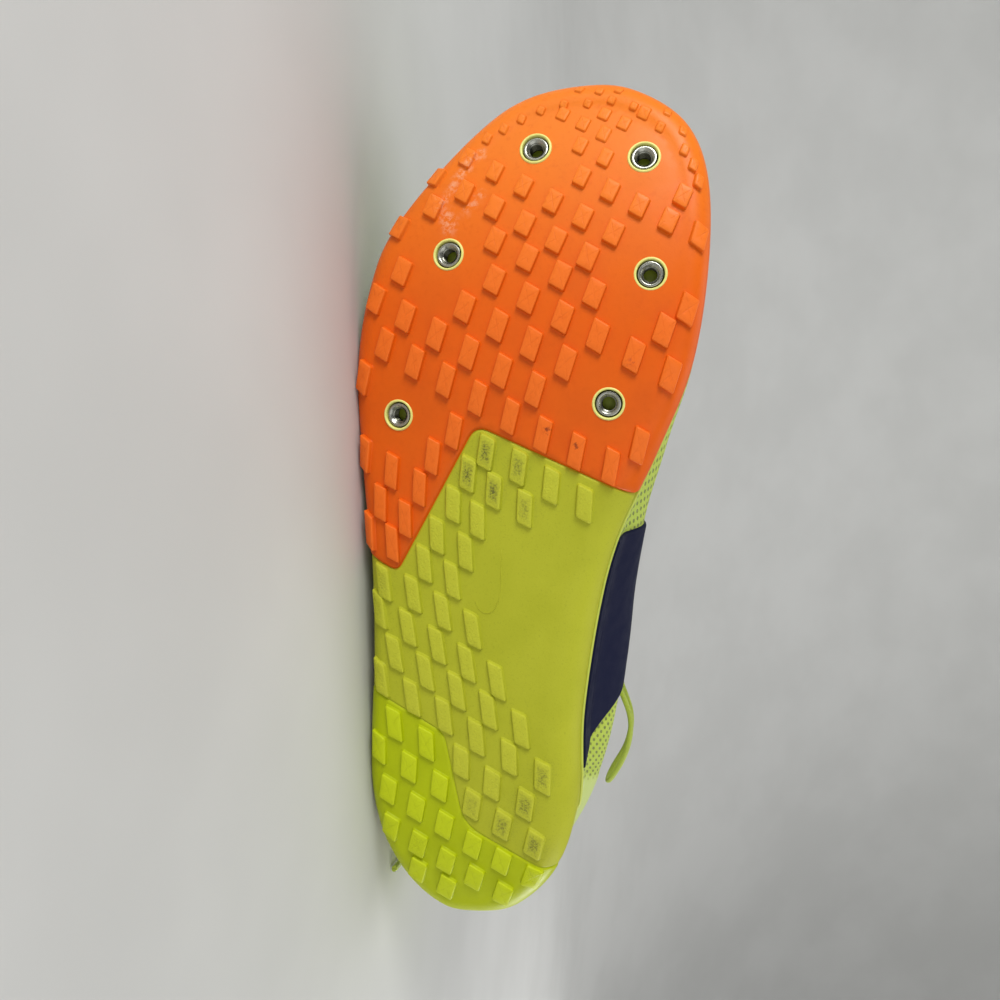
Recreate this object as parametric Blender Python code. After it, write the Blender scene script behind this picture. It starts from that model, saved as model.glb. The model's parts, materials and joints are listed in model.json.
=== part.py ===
"""Cross country spike, right shoe, lying on its lateral side.

The shoe is worked out in a shoe frame in millimetres: x from heel to toe, y to the medial side, z up from
the ground. One table of stations round the sole edge drives the sole, the upper, the insole and the tongue.
"""
import math
from collections import namedtuple

import bmesh
import bpy
import numpy as np
from mathutils import Matrix, Vector
from mathutils.bvhtree import BVHTree

MM = 0.001
NAME = "cross_country_spike"

# Sampling round the sole edge: HALF steps from heel to toe on each side
HALF = 25
AROUND = 2 * HALF
TOE_ROW = 15

# Sole sizes
LUG_BASE = 1.6
TOE_START = 185.0
TOE_RADIUS = 205.0
HEEL_START = 47.0
HEEL_LIFT = 4.0
HEEL_RUN = 34.0
CROWN = 3.5
CROWN_HALF = 52.0
ARCH_LIFT = 4.0
PLATE_THICK = 2.2
POD_THICK = 2.0
GAP = 0.3
PLATE_LUG = 1.7
FOAM_LUG = 1.2
POD_LUG = 1.4
LUG_ROOT = 1.1
LUG_TRIM = 0.88
BED_DISH = 1.5
BED_STEP = 3.4

# Upper sizes
WALL = 1.8
FEATHER_IN = 0.7
RINGS_T = (0.0, 0.15, 0.33, 0.54, 0.77, 1.0)
SADDLE_THICK = 0.8
INSOLE_THICK = 3.0
TONGUE_THICK = 3.2

# Spike seats
COLLAR_R = 4.85
COLLAR_BORE = 3.75
COLLAR_DEEP = 3.6
COLLAR_PROUD = 0.7
INSERT_R = 3.45
INSERT_BORE = 2.2
INSERT_DEEP = 5.6
INSERT_SUNK = 0.35
INSERT_FLOOR = 0.9
SEAT_SIDES = 10

# Lace
LACE_W = 3.2
LACE_T = 1.5
CORD_R = 1.4
CORD_SIDES = 6
CORD_STEP = 7.5
KNOT_HALF = (4.6, 8.0, 3.8)
EYELET_R = 2.2
EYELET_T = 0.88
EYELET_X = (110.0, 124.0, 138.0, 152.0, 166.0, 179.0)

# Lying pose: the shoe is turned onto its lateral side, toe to minus X, medial side up
ROLL = math.radians(3.75)
PITCH = math.radians(5.2)

SoleRow = namedtuple("SoleRow", "x y tread_in round_h bite_in bite_h")
SOLE = [
    SoleRow(4.0, -4.5, 8.0, 8.0, 1.5, 17.0),
    SoleRow(8.6, 11.2, 8.0, 8.0, 1.5, 17.0),
    SoleRow(17.4, 20.6, 8.0, 7.5, 1.2, 17.5),
    SoleRow(29.8, 28.0, 8.0, 7.0, 1.0, 18.0),
    SoleRow(44.0, 32.0, 8.5, 8.0, 0.6, 18.0),
    SoleRow(61.3, 32.9, 10.0, 9.5, 0.0, 18.0),
    SoleRow(85.6, 30.9, 13.0, 11.0, -0.5, 18.5),
    SoleRow(121.5, 32.5, 13.0, 11.0, -0.5, 18.0),
    SoleRow(146.8, 36.6, 11.0, 9.0, -0.3, 16.0),
    SoleRow(174.6, 45.9, 7.5, 6.0, 0.5, 13.0),
    SoleRow(200.8, 53.1, 7.0, 5.0, 0.8, 11.5),
    SoleRow(229.3, 54.3, 7.0, 5.0, 0.8, 11.0),
    SoleRow(255.0, 51.0, 7.0, 5.5, 0.8, 11.0),
    SoleRow(271.0, 43.0, 7.0, 6.5, 0.8, 11.0),
    SoleRow(279.8, 29.3, 7.0, 7.0, 0.8, 11.0),
    SoleRow(282.4, 14.5, 7.0, 7.0, 0.8, 11.0),
    SoleRow(277.5, -6.3, 7.0, 6.5, 0.8, 11.0),
    SoleRow(264.6, -21.7, 7.0, 5.5, 0.8, 11.0),
    SoleRow(236.3, -42.3, 7.0, 5.0, 0.8, 11.0),
    SoleRow(217.0, -49.0, 7.0, 5.0, 0.8, 11.2),
    SoleRow(190.0, -51.2, 7.0, 5.0, 0.8, 11.5),
    SoleRow(160.6, -47.5, 6.5, 5.0, 0.8, 13.0),
    SoleRow(128.0, -42.5, 6.5, 5.0, 0.8, 15.0),
    SoleRow(95.0, -40.0, 6.5, 5.0, 0.8, 17.0),
    SoleRow(68.0, -39.6, 6.5, 5.5, 0.8, 18.0),
    SoleRow(49.4, -38.5, 6.5, 6.0, 0.8, 18.0),
    SoleRow(33.0, -34.6, 7.0, 6.5, 1.0, 18.0),
    SoleRow(21.6, -29.2, 7.5, 7.0, 1.2, 17.5),
    SoleRow(12.2, -22.4, 8.0, 8.0, 1.5, 17.0),
    SoleRow(5.8, -13.6, 8.0, 8.0, 1.5, 17.0),
]

# Upper sections: sole row they stand on, widest point, shoulder, and the point on the topline
UpperRow = namedtuple("UpperRow", "at bulge bulge_z shoulder shoulder_z top_x top_y top_z")
UPPER = [
    UpperRow(0, 2.0, 16.0, 0.35, 40.0, 11.0, -3.5, 83.0),
    UpperRow(2, 1.0, 20.0, 0.50, 40.0, 18.5, 14.5, 79.5),
    UpperRow(4, 3.0, 24.0, 0.50, 37.0, 43.0, 25.0, 67.0),
    UpperRow(5, 5.0, 25.0, 0.50, 36.0, 62.0, 27.5, 65.0),
    UpperRow(6, 9.0, 25.0, 0.50, 43.0, 87.0, 22.5, 74.5),
    UpperRow(7, 8.0, 23.0, 0.52, 49.0, 116.0, 16.5, 86.5),
    UpperRow(8, 6.0, 20.0, 0.50, 45.0, 141.0, 15.0, 80.5),
    UpperRow(9, 2.5, 16.0, 0.48, 42.0, 163.0, 13.5, 75.0),
    UpperRow(10, 1.0, 13.0, 0.45, 38.0, 180.0, 12.0, 71.0),
    UpperRow(11, 0.3, 11.0, 0.40, 33.0, 190.0, 9.5, 69.0),
    UpperRow(13, 0.0, 10.0, 0.26, 24.0, 194.5, 6.0, 68.0),
    UpperRow(15, 0.0, 9.5, 0.19, 21.5, 196.0, 2.5, 67.5),
    UpperRow(17, 0.0, 10.0, 0.27, 23.5, 194.5, -1.0, 68.0),
    UpperRow(18, 0.3, 11.0, 0.40, 29.0, 190.0, -4.5, 69.0),
    UpperRow(20, 0.0, 13.0, 0.45, 35.0, 174.0, -8.0, 72.5),
    UpperRow(21, 4.0, 24.0, 0.42, 42.0, 152.0, -9.5, 78.0),
    UpperRow(22, 6.4, 24.0, 0.46, 46.0, 122.0, -11.5, 85.0),
    UpperRow(23, 3.6, 24.0, 0.50, 45.0, 97.0, -16.5, 80.0),
    UpperRow(24, 2.0, 23.0, 0.50, 37.0, 70.0, -25.5, 65.5),
    UpperRow(25, 1.5, 23.0, 0.50, 35.0, 52.0, -27.5, 63.5),
    UpperRow(26, 0.5, 22.0, 0.50, 38.0, 36.0, -25.0, 68.0),
    UpperRow(28, 0.8, 18.0, 0.50, 40.0, 18.0, -18.5, 79.5),
]

# Borders of the two rubber pieces, seen from below: corner and its rounding
Corner = namedtuple("Corner", "x y r")
PLATE_BORDER = [
    Corner(290.0, 80.0, 0.0),
    Corner(157.0, 80.0, 0.0),
    Corner(161.5, 41.5, 4.0),
    Corner(177.8, -9.2, 5.0),
    Corner(127.5, -32.0, 3.0),
    Corner(137.5, -60.0, 0.0),
    Corner(290.0, -80.0, 0.0),
]
POD_BORDER = [
    Corner(-20.0, -60.0, 0.0),
    Corner(94.0, -60.0, 0.0),
    Corner(74.5, -12.6, 6.0),
    Corner(43.0, -3.5, 14.0),
    Corner(32.5, 24.0, 8.0),
    Corner(33.5, 50.0, 0.0),
    Corner(-20.0, 50.0, 0.0),
]

# Lug lattice: one slanting row each, the lug numbered 0, the step along the row, and the lugs in it
LugRow = namedtuple("LugRow", "x y pitch first last missing")
LUG_ROWS = [
    LugRow(273.6, 30.2, 6.6, 0, 0, ()),
    LugRow(272.8, 18.5, 6.3, 0, 1, ()),
    LugRow(269.5, 12.6, 6.7, -1, 1, ()),
    LugRow(262.8, 12.9, 8.0, 0, 4, (2, 3)),
    LugRow(253.4, 14.9, 9.0, 0, 4, ()),
    LugRow(245.6, 7.4, 9.6, -3, 2, ()),
    LugRow(238.7, -0.1, 10.1, -3, 5, (3, 4)),
    LugRow(228.8, 2.1, 10.6, -3, 4, (-2, 3)),
    LugRow(217.1, 3.8, 11.0, -4, 4, (-3, -2)),
    LugRow(208.5, -4.6, 10.9, -3, 2, (-2,)),
    LugRow(195.2, -2.0, 10.8, -4, 4, (2, 3)),
    LugRow(181.9, 1.8, 10.6, -4, 3, ()),
    LugRow(171.0, -5.1, 10.6, -4, 3, (-3, -2)),
    LugRow(158.2, -1.7, 10.2, -2, 1, ()),
    LugRow(148.1, -6.2, 9.8, -4, 0, ()),
    LugRow(137.4, -9.4, 9.8, -3, 0, ()),
    LugRow(127.5, -13.1, 9.7, -3, 0, ()),
    LugRow(112.2, -5.2, 10.4, -3, 0, ()),
    LugRow(100.5, -6.3, 10.4, -3, 1, ()),
    LugRow(90.3, -9.0, 11.1, -2, 2, ()),
    LugRow(75.5, -1.2, 11.5, -3, 2, ()),
    LugRow(60.1, 5.3, 11.7, -3, 1, ()),
    LugRow(50.9, -1.3, 11.2, -3, 2, ()),
    LugRow(37.5, 0.3, 10.3, -3, 2, ()),
    LugRow(23.6, 1.4, 10.2, -3, 1, ()),
    LugRow(16.8, -8.5, 10.6, -1, 0, ()),
]
ROW_SLANT = -0.42

# Lug form along the shoe: its short side and its long side, in plan
LugForm = namedtuple("LugForm", "x short_x short_y long_x long_y")
LUG_FORMS = [
    LugForm(10.0, -2.3, 5.0, -9.5, -2.4),
    LugForm(40.0, -2.1, 5.1, -9.6, -1.5),
    LugForm(58.0, -2.0, 5.1, -10.2, -0.2),
    LugForm(75.0, -1.6, 4.8, -11.8, 1.8),
    LugForm(106.0, -1.4, 4.5, -12.0, 2.7),
    LugForm(145.0, -1.6, 4.4, -11.5, 1.0),
    LugForm(190.0, -2.1, 4.6, -9.8, -1.9),
    LugForm(208.0, -2.4, 5.0, -8.8, -2.0),
    LugForm(230.0, -2.2, 4.9, -7.2, -2.1),
    LugForm(245.0, -2.1, 4.4, -6.5, -2.0),
    LugForm(260.0, -1.7, 3.5, -5.4, -1.6),
    LugForm(276.0, -1.4, 3.2, -3.6, -1.2),
]

# Side panels: the sole rows between which each is cut out, and its slanting edges seen from the side
Panel = namedtuple("Panel", "first last back_low back_high front_high front_low")
PANEL_LOW = 5.0
PANEL_HIGH = 95.0
SADDLE_MEDIAL = Panel(5.0, 8.6, 68.0, 114.0, 136.0, 142.0)
SADDLE_LATERAL = Panel(21.0, 24.6, 68.0, 112.0, 134.0, 140.0)

# Tongue sections from the vamp to its top: half width, and rise above the section at the last eyelets
TongueRow = namedtuple("TongueRow", "x half rise")
TONGUE = [
    TongueRow(208.0, 13.0, 0.0),
    TongueRow(197.0, 19.0, 0.0),
    TongueRow(186.0, 23.0, 0.0),
    TongueRow(172.0, 25.0, 0.0),
    TongueRow(156.0, 26.0, 0.0),
    TongueRow(140.0, 26.0, 0.0),
    TongueRow(125.0, 24.0, 0.0),
    TongueRow(117.0, 17.0, 0.0),
    TongueRow(110.0, 12.5, 0.5),
    TongueRow(104.0, 13.0, 4.5),
    TongueRow(97.0, 14.0, 10.0),
    TongueRow(91.0, 14.0, 16.0),
]
TONGUE_ACROSS = 8
TONGUE_CLEAR = 1.0
THROAT_CROWN = 2.0
THROAT_HALF = 13.0
CENTRE_Y = 2.5

# Free lace, from the knot outwards; a row far below the floor lies on it
LaceRow = namedtuple("LaceRow", "x y z")
ON_FLOOR = -90.0
LACE_LOOP_MEDIAL = [
    LaceRow(109.5, 10.85, 93.3),
    LaceRow(107.5, 16.5, 92.4),
    LaceRow(102.0, 21.5, 90.5),
    LaceRow(95.0, 25.0, 87.5),
    LaceRow(85.0, 30.0, 80.5),
    LaceRow(74.0, 36.0, 72.0),
    LaceRow(60.0, 43.0, 69.5),
    LaceRow(47.0, 42.5, 69.0),
    LaceRow(36.0, 38.5, 69.0),
    LaceRow(27.5, 34.5, 73.0),
    LaceRow(34.0, 37.0, 79.0),
    LaceRow(46.0, 41.8, 80.0),
    LaceRow(57.0, 42.2, 81.0),
    LaceRow(71.0, 35.5, 84.0),
    LaceRow(84.0, 29.5, 90.0),
    LaceRow(95.0, 25.5, 95.5),
    LaceRow(103.0, 20.5, 98.5),
    LaceRow(108.5, 15.5, 97.6),
    LaceRow(110.5, 10.85, 96.7),
]
LACE_LOOP_LATERAL = [
    LaceRow(110.0, -5.85, 93.4),
    LaceRow(110.0, -12.0, 93.6),
    LaceRow(106.0, -24.0, 96.0),
    LaceRow(97.0, ON_FLOOR, 101.0),
    LaceRow(80.0, ON_FLOOR, 104.0),
    LaceRow(67.0, ON_FLOOR, 112.0),
    LaceRow(76.0, ON_FLOOR, 119.0),
    LaceRow(93.0, ON_FLOOR, 115.0),
    LaceRow(106.0, -26.0, 107.0),
    LaceRow(110.0, -12.0, 98.5),
    LaceRow(110.0, -5.85, 96.7),
]
LACE_END_HEEL = [
    LaceRow(107.3, -5.5, 95.0),
    LaceRow(107.0, -10.5, 95.0),
    LaceRow(104.0, -17.0, 94.5),
    LaceRow(96.0, -27.0, 92.5),
    LaceRow(82.0, ON_FLOOR, 89.0),
    LaceRow(52.0, ON_FLOOR, 82.0),
    LaceRow(24.0, ON_FLOOR, 70.0),
    LaceRow(5.0, ON_FLOOR, 56.0),
    LaceRow(1.5, ON_FLOOR, 44.0),
    LaceRow(4.0, ON_FLOOR, 31.5),
    LaceRow(6.2, ON_FLOOR, 21.8),
]
LACE_END_TOE = [
    LaceRow(112.7, -5.5, 95.0),
    LaceRow(114.0, -11.0, 94.8),
    LaceRow(119.0, -22.0, 93.0),
    LaceRow(125.0, -34.0, 90.0),
    LaceRow(134.0, ON_FLOOR, 87.0),
    LaceRow(150.0, ON_FLOOR, 83.0),
    LaceRow(170.0, ON_FLOOR, 82.0),
    LaceRow(190.0, ON_FLOOR, 86.0),
]

Seat = namedtuple("Seat", "x y")
SEATS = [
    Seat(261.3, -0.6),
    Seat(260.2, 32.2),
    Seat(228.3, -22.9),
    Seat(226.7, 38.7),
    Seat(178.3, -34.7),
    Seat(188.5, 31.0),
]


def hermite(knots, values, at):
    """Smooth curve through values at rising knots, slopes from neighbours."""
    knots = np.asarray(knots, float)
    values = np.asarray(values, float)
    slopes = np.gradient(values, knots, axis=0)
    spot = np.clip(np.searchsorted(knots, at, side="right") - 1, 0, len(knots) - 2)
    span = knots[spot + 1] - knots[spot]
    s = (at - knots[spot]) / span
    if values.ndim > 1:
        s = s[..., None]
        span = span[..., None]
    a = 2 * s**3 - 3 * s**2 + 1
    b = s**3 - 2 * s**2 + s
    c = -2 * s**3 + 3 * s**2
    d = s**3 - s**2
    return a * values[spot] + b * span * slopes[spot] + c * values[spot + 1] + d * span * slopes[spot + 1]


def around(knots, values, period, at):
    """The same curve for values that repeat after one period."""
    knots = np.asarray(knots, float)
    values = np.asarray(values, float)
    long_knots = np.concatenate([knots - period, knots, knots + period])
    long_values = np.concatenate([values, values, values])
    return hermite(long_knots, long_values, np.asarray(at, float))


def edge_spots():
    """Row numbers, as decimals, of AROUND points evenly spaced on each half of the sole edge."""
    rows = np.arange(len(SOLE))
    fine = np.linspace(0.0, len(SOLE), 30 * len(SOLE) + 1)
    xy = around(rows, [(r.x, r.y) for r in SOLE], len(SOLE), fine)
    run = np.concatenate([[0.0], np.cumsum(np.linalg.norm(np.diff(xy, axis=0), axis=1))])
    toe = np.interp(TOE_ROW, fine, run)
    targets = np.concatenate([np.linspace(0, toe, HALF + 1)[:-1], np.linspace(toe, run[-1], HALF + 1)[:-1]])
    return np.interp(targets, run, fine)


def sole_values(spots):
    """Columns of the sole table at decimal row numbers."""
    return around(np.arange(len(SOLE)), [tuple(r) for r in SOLE], len(SOLE), spots)


def inward(spots):
    """Unit vectors pointing inwards from the sole edge, in plan."""
    step = 0.02
    rows = np.arange(len(SOLE))
    xy = [(r.x, r.y) for r in SOLE]
    ahead = around(rows, xy, len(SOLE), np.asarray(spots) + step)
    behind = around(rows, xy, len(SOLE), np.asarray(spots) - step)
    along = ahead - behind
    along /= np.linalg.norm(along, axis=1)[:, None]
    return np.stack([along[:, 1], -along[:, 0]], axis=1) * EDGE_SIGN


def base_z(x, y):
    """Height of the sole between the lugs: heel rise, arch, toe spring and crown."""
    x = np.asarray(x, float)
    y = np.asarray(y, float)
    toe = np.clip(x - TOE_START, 0.0, 0.98 * TOE_RADIUS)
    spring = TOE_RADIUS - np.sqrt(TOE_RADIUS**2 - toe**2)
    heel = HEEL_LIFT * (np.clip(HEEL_START - x, 0.0, None) / HEEL_RUN) ** 2
    crown = CROWN * np.clip((x - 123.0) / 60.0, 0.0, 1.0) * np.clip(np.abs(y) / CROWN_HALF, 0.0, 1.15) ** 3
    waist = np.clip(1.0 - ((x - 112.0) / 52.0) ** 2, 0.0, 1.0)
    arch = ARCH_LIFT * waist * np.clip((y - 2.0) / 28.0, 0.0, 1.0) ** 2
    return LUG_BASE + spring + heel + crown + arch


# The outline runs heel, medial side, toe, lateral side: inwards lies to the right of it
EDGE_SIGN = 1.0
SPOTS = edge_spots()
EDGE = sole_values(SPOTS)
INWARD = inward(SPOTS)
PAIR = (AROUND - np.arange(AROUND)) % AROUND


def inset(amount):
    """Plan points a given distance inside the sole edge."""
    return EDGE[:, :2] + np.asarray(amount)[:, None] * INWARD


def tread_edge():
    """Ring where the flat of the tread ends."""
    xy = inset(EDGE[:, 2])
    return np.column_stack([xy, base_z(xy[:, 0], xy[:, 1])])


TREAD = tread_edge()
MIDDLE = (TREAD + TREAD[PAIR]) / 2


def tread_ring(part):
    """Ring inside the tread: 0 on the middle line, 1 at its edge."""
    xy = MIDDLE[:, :2] + part * (TREAD[:, :2] - MIDDLE[:, :2])
    return np.column_stack([xy, base_z(xy[:, 0], xy[:, 1])])


def side_ring(turn):
    """Ring on the rounded lower edge: turn 0 at the tread, 1 at the widest line."""
    angle = turn * math.pi / 2
    xy = inset(EDGE[:, 2] * (1 - math.sin(angle)))
    return np.column_stack([xy, TREAD[:, 2] + EDGE[:, 3] * (1 - math.cos(angle))])


def wall_ring(part):
    """Ring on the side wall: 0 at the widest line, 1 at the line where the upper starts."""
    xy = inset(EDGE[:, 4] * part)
    return np.column_stack([xy, TREAD[:, 2] + EDGE[:, 3] + (EDGE[:, 5] - EDGE[:, 3]) * part])


def bowl_rings(wall_part):
    """Underside of the sole from the middle line out and up the wall."""
    rings = [tread_ring(p) for p in (0.0, 0.5, 1.0)]
    rings += [side_ring(p) for p in (0.36, 0.7)]
    rings.append(wall_ring(wall_part))
    return rings


BITE = wall_ring(1.0)


def bed_rings(step_in, lift):
    """Top of the midsole, from a ring inside its rim to the dished middle line."""
    rim = inset(EDGE[:, 4] + step_in)
    rim = np.column_stack([rim, BITE[:, 2] + lift])
    middle = (rim + rim[PAIR]) / 2
    half = rim + 0.55 * (middle - rim)
    half[:, 2] -= 0.7 * BED_DISH
    middle[:, 2] -= BED_DISH
    ends = [0, HALF]
    half[ends] = rim[ends]
    middle[ends] = rim[ends]
    return [rim, half, middle]


def ring_faces(count, around_count, closed):
    """Quads that join successive rings; closed joins the last ring to the first."""
    faces = []
    last = count if closed else count - 1
    for k in range(last):
        for i in range(around_count):
            j = (i + 1) % around_count
            n = (k + 1) % count
            faces.append((k * around_count + i, k * around_count + j, n * around_count + j, n * around_count + i))
    return faces


def mesh_from(name, verts, faces, fixed=False):
    """Mesh in metres, in triangles, with doubles joined, flat scraps gone and faces turned outwards.

    With fixed, every quad is split from its first corner, so that layers over one grid stay parallel.
    """
    bm = bmesh.new()
    made = [bm.verts.new(Vector(v) * MM) for v in verts]
    for face in faces:
        ids = list(dict.fromkeys(face))
        if len(ids) > 2:
            bm.faces.new([made[i] for i in ids])
    bmesh.ops.remove_doubles(bm, verts=bm.verts, dist=2e-6)
    bmesh.ops.dissolve_degenerate(bm, edges=bm.edges, dist=1e-6)
    bmesh.ops.triangulate(bm, faces=bm.faces, quad_method="FIXED" if fixed else "BEAUTY")
    bmesh.ops.recalc_face_normals(bm, faces=bm.faces)
    mesh = bpy.data.meshes.new(name)
    bm.to_mesh(mesh)
    bm.free()
    return mesh


def rings_mesh(name, rings, closed=False, fixed=False):
    """Mesh through rings of equal length."""
    count = len(rings[0])
    return mesh_from(name, np.concatenate(rings), ring_faces(len(rings), count, closed), fixed)


def ring_normals(rings, closed=False):
    """Downward and outward normals at every ring point, from a joined copy of the surface."""
    mesh = rings_mesh("scratch", rings, closed)
    bm = bmesh.new()
    bm.from_mesh(mesh)
    bm.normal_update()
    tree = BVHTree.FromBMesh(bm)
    spots = np.array([v.co for v in bm.verts])
    normals = np.array([v.normal for v in bm.verts])
    if np.mean(normals[:, 2]) > 0:
        normals = -normals
    result = []
    for ring in rings:
        nearest = [int(np.argmin(np.sum((spots - p * MM) ** 2, axis=1))) for p in ring]
        result.append(normals[nearest])
    bm.free()
    bpy.data.meshes.remove(mesh)
    return result, tree


COLLECTIONS = {}


def collection(name):
    """Collection by name, made once."""
    if name not in COLLECTIONS:
        COLLECTIONS[name] = bpy.data.collections.new(name)
        bpy.context.scene.collection.children.link(COLLECTIONS[name])
    return COLLECTIONS[name]


def put(name, mesh, colour=None, rough=0.6, metal=0.0):
    """Object in the part collection with a material of its own."""
    thing = bpy.data.objects.new(name, mesh)
    collection(NAME).objects.link(thing)
    if colour is not None:
        paint = bpy.data.materials.new(name)
        paint.use_nodes = True
        node = paint.node_tree.nodes["Principled BSDF"]
        node.inputs["Base Color"].default_value = (*colour, 1.0)
        node.inputs["Roughness"].default_value = rough
        node.inputs["Metallic"].default_value = metal
        mesh.materials.append(paint)
    return thing


def tool(name, mesh):
    """Cutter object, kept apart from the parts."""
    thing = bpy.data.objects.new(name, mesh)
    collection("cutters").objects.link(thing)
    thing.hide_render = True
    thing.display_type = "WIRE"
    return thing


def boolean(thing, operation, other):
    """Exact Boolean of one object with another."""
    step = thing.modifiers.new(operation.lower() + "_" + other.name, "BOOLEAN")
    step.operation = operation
    step.object = other
    step.solver = "EXACT"
    return step


def rounded(corners, grow=0.0):
    """Outline with rounded corners, grown outwards by a distance."""
    points = []
    count = len(corners)
    for k, corner in enumerate(corners):
        here = np.array(corner[:2])
        if corner.r == 0.0:
            points.append(here)
            continue
        back = np.array(corners[k - 1][:2]) - here
        ahead = np.array(corners[(k + 1) % count][:2]) - here
        back /= np.linalg.norm(back)
        ahead /= np.linalg.norm(ahead)
        half = math.acos(float(np.clip(back @ ahead, -1, 1))) / 2
        reach = corner.r / math.tan(half)
        start = here + back * reach
        end = here + ahead * reach
        for s in (0.0, 0.3, 0.5, 0.7, 1.0):
            points.append((1 - s) ** 2 * start + 2 * s * (1 - s) * here + s**2 * end)
    points = np.array(points)
    if grow:
        ahead = np.roll(points, -1, axis=0) - points
        ahead /= np.linalg.norm(ahead, axis=1)[:, None]
        left = np.stack([ahead[:, 1], -ahead[:, 0]], axis=1)
        before = np.roll(left, 1, axis=0)
        turn = left + before
        turn /= np.linalg.norm(turn, axis=1)[:, None]
        area = np.sum(points[:, 0] * np.roll(points[:, 1], -1) - np.roll(points[:, 0], -1) * points[:, 1])
        grow = grow if area > 0 else -grow
        points = points + turn * (grow / np.sum(turn * left, axis=1))[:, None]
    return points


def prism(name, points, low, high):
    """Upright prism on a plan outline."""
    count = len(points)
    verts = [(*p, low) for p in points] + [(*p, high) for p in points]
    faces = [tuple(range(count)), tuple(range(count, 2 * count))]
    faces += [(i, (i + 1) % count, count + (i + 1) % count, count + i) for i in range(count)]
    return mesh_from(name, verts, faces)


def inside(points, x, y):
    """Whether a plan point lies in an outline."""
    hit = False
    for k in range(len(points)):
        x0, y0 = points[k - 1]
        x1, y1 = points[k]
        if (y0 > y) != (y1 > y) and x < x0 + (y - y0) * (x1 - x0) / (y1 - y0):
            hit = not hit
    return hit


def drop(tree, x, y):
    """Point and outward normal of the underside straight above a plan point."""
    hit, normal, _, _ = tree.ray_cast(Vector((x * MM, y * MM, -0.1)), Vector((0, 0, 1)))
    if hit is None:
        return None
    normal = np.array(normal)
    if normal[2] > 0:
        normal = -normal
    return np.array(hit) / MM, normal


def lug_form(x):
    """Short and long side of a lug at a station."""
    knots = [f.x for f in LUG_FORMS]
    values = [tuple(f)[1:] for f in LUG_FORMS]
    form = hermite(knots, values, np.array([np.clip(x, knots[0], knots[-1])]))[0]
    return LUG_TRIM * form[:2], LUG_TRIM * form[2:]


def lug_places():
    """Plan centres of all lugs."""
    for row in LUG_ROWS:
        for k in range(row.first, row.last + 1):
            if k not in row.missing:
                yield row.x + ROW_SLANT * row.pitch * k, row.y + row.pitch * k


def lug_block(tree, x, y, height):
    """Corners of one lug that stands on the underside along its normals."""
    short, long = lug_form(x)
    centre = drop(tree, x, y)
    if centre is None:
        return None
    tops = []
    roots = []
    for a, b in ((-0.5, -0.5), (0.5, -0.5), (0.5, 0.5), (-0.5, 0.5)):
        spot = None
        for part in (1.0, 0.8, 0.6, 0.45):
            spot = drop(tree, x + part * (a * short[0] + b * long[0]), y + part * (a * short[1] + b * long[1]))
            if spot is not None and spot[1][2] < -0.35:
                break
        if spot is None:
            return None
        point, normal = spot
        lean = normal + centre[1]
        lean /= np.linalg.norm(lean)
        tops.append(point + lean * height)
        roots.append(point - lean * LUG_ROOT)
    return tops + roots


def lugs_mesh(name, tree, height, chosen):
    """All lugs of one piece as separate blocks in one mesh."""
    verts = []
    faces = []
    box = [(0, 1, 2, 3), (4, 5, 6, 7), (0, 1, 5, 4), (1, 2, 6, 5), (2, 3, 7, 6), (3, 0, 4, 7)]
    for x, y in lug_places():
        if not chosen(x, y):
            continue
        block = lug_block(tree, x, y, height)
        if block is None:
            continue
        start = len(verts)
        verts += block
        faces += [tuple(start + i for i in f) for f in box]
    return mesh_from(name, verts, faces)


def slid(ring, part):
    """Ring with its points moved along it towards the toe, so no edges of two solids line up."""
    ahead = np.roll(ring, -1, axis=0)
    ahead[HALF + 1:] = ring[HALF:-1]
    ahead[[0, HALF]] = ring[[0, HALF]]
    return ring + part * (ahead - ring)


# Rings of the underside that the hidden face of a skin keeps
INNER_RINGS = (0, 2, 4, 5)


def shell(name, thick, wall_part, outside=0.0, slide=0.0):
    """Closed skin of the underside, thick inwards, with an allowance outwards."""
    rings = bowl_rings(wall_part)
    normals, _ = ring_normals(rings)
    outer = [slid(r + n * outside, slide) for r, n in zip(rings, normals)]
    inner = [slid(r - n * thick, slide) for r, n in zip(rings, normals)]
    inner = [inner[k] for k in INNER_RINGS]
    return rings_mesh(name, outer + inner[::-1])


def frame_at(axis):
    """Two unit vectors across an axis."""
    axis = np.asarray(axis, float)
    helper = np.array([0.0, 1.0, 0.0]) if abs(axis[1]) < 0.8 else np.array([1.0, 0.0, 0.0])
    one = np.cross(axis, helper)
    one /= np.linalg.norm(one)
    return one, np.cross(axis, one)


def turned(name, base, axis, profile, sides):
    """Turned solid: profile rows of radius and height along the axis, closed by its ends."""
    one, two = frame_at(axis)
    rings = []
    for radius, height in profile:
        angles = np.arange(sides) * 2 * math.pi / sides
        ring = [base + axis * height + radius * (math.cos(a) * one + math.sin(a) * two) for a in angles]
        rings.append(np.array(ring))
    closed = profile[0][0] > 0 and profile[-1][0] > 0
    return rings_mesh(name, rings, closed)


def merged(name, meshes):
    """One mesh from several."""
    bm = bmesh.new()
    for mesh in meshes:
        bm.from_mesh(mesh)
        bpy.data.meshes.remove(mesh)
    result = bpy.data.meshes.new(name)
    bm.to_mesh(result)
    bm.free()
    return result


# Colours of the parts, linear
ORANGE = (0.78, 0.13, 0.02)
FOAM = (0.52, 0.57, 0.07)
LIME = (0.42, 0.50, 0.02)
STEEL = (0.55, 0.55, 0.55)
PALE = (0.75, 0.76, 0.25)
MESH = (0.55, 0.68, 0.08)
NAVY = (0.015, 0.018, 0.05)
LINING = (0.45, 0.55, 0.12)


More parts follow.
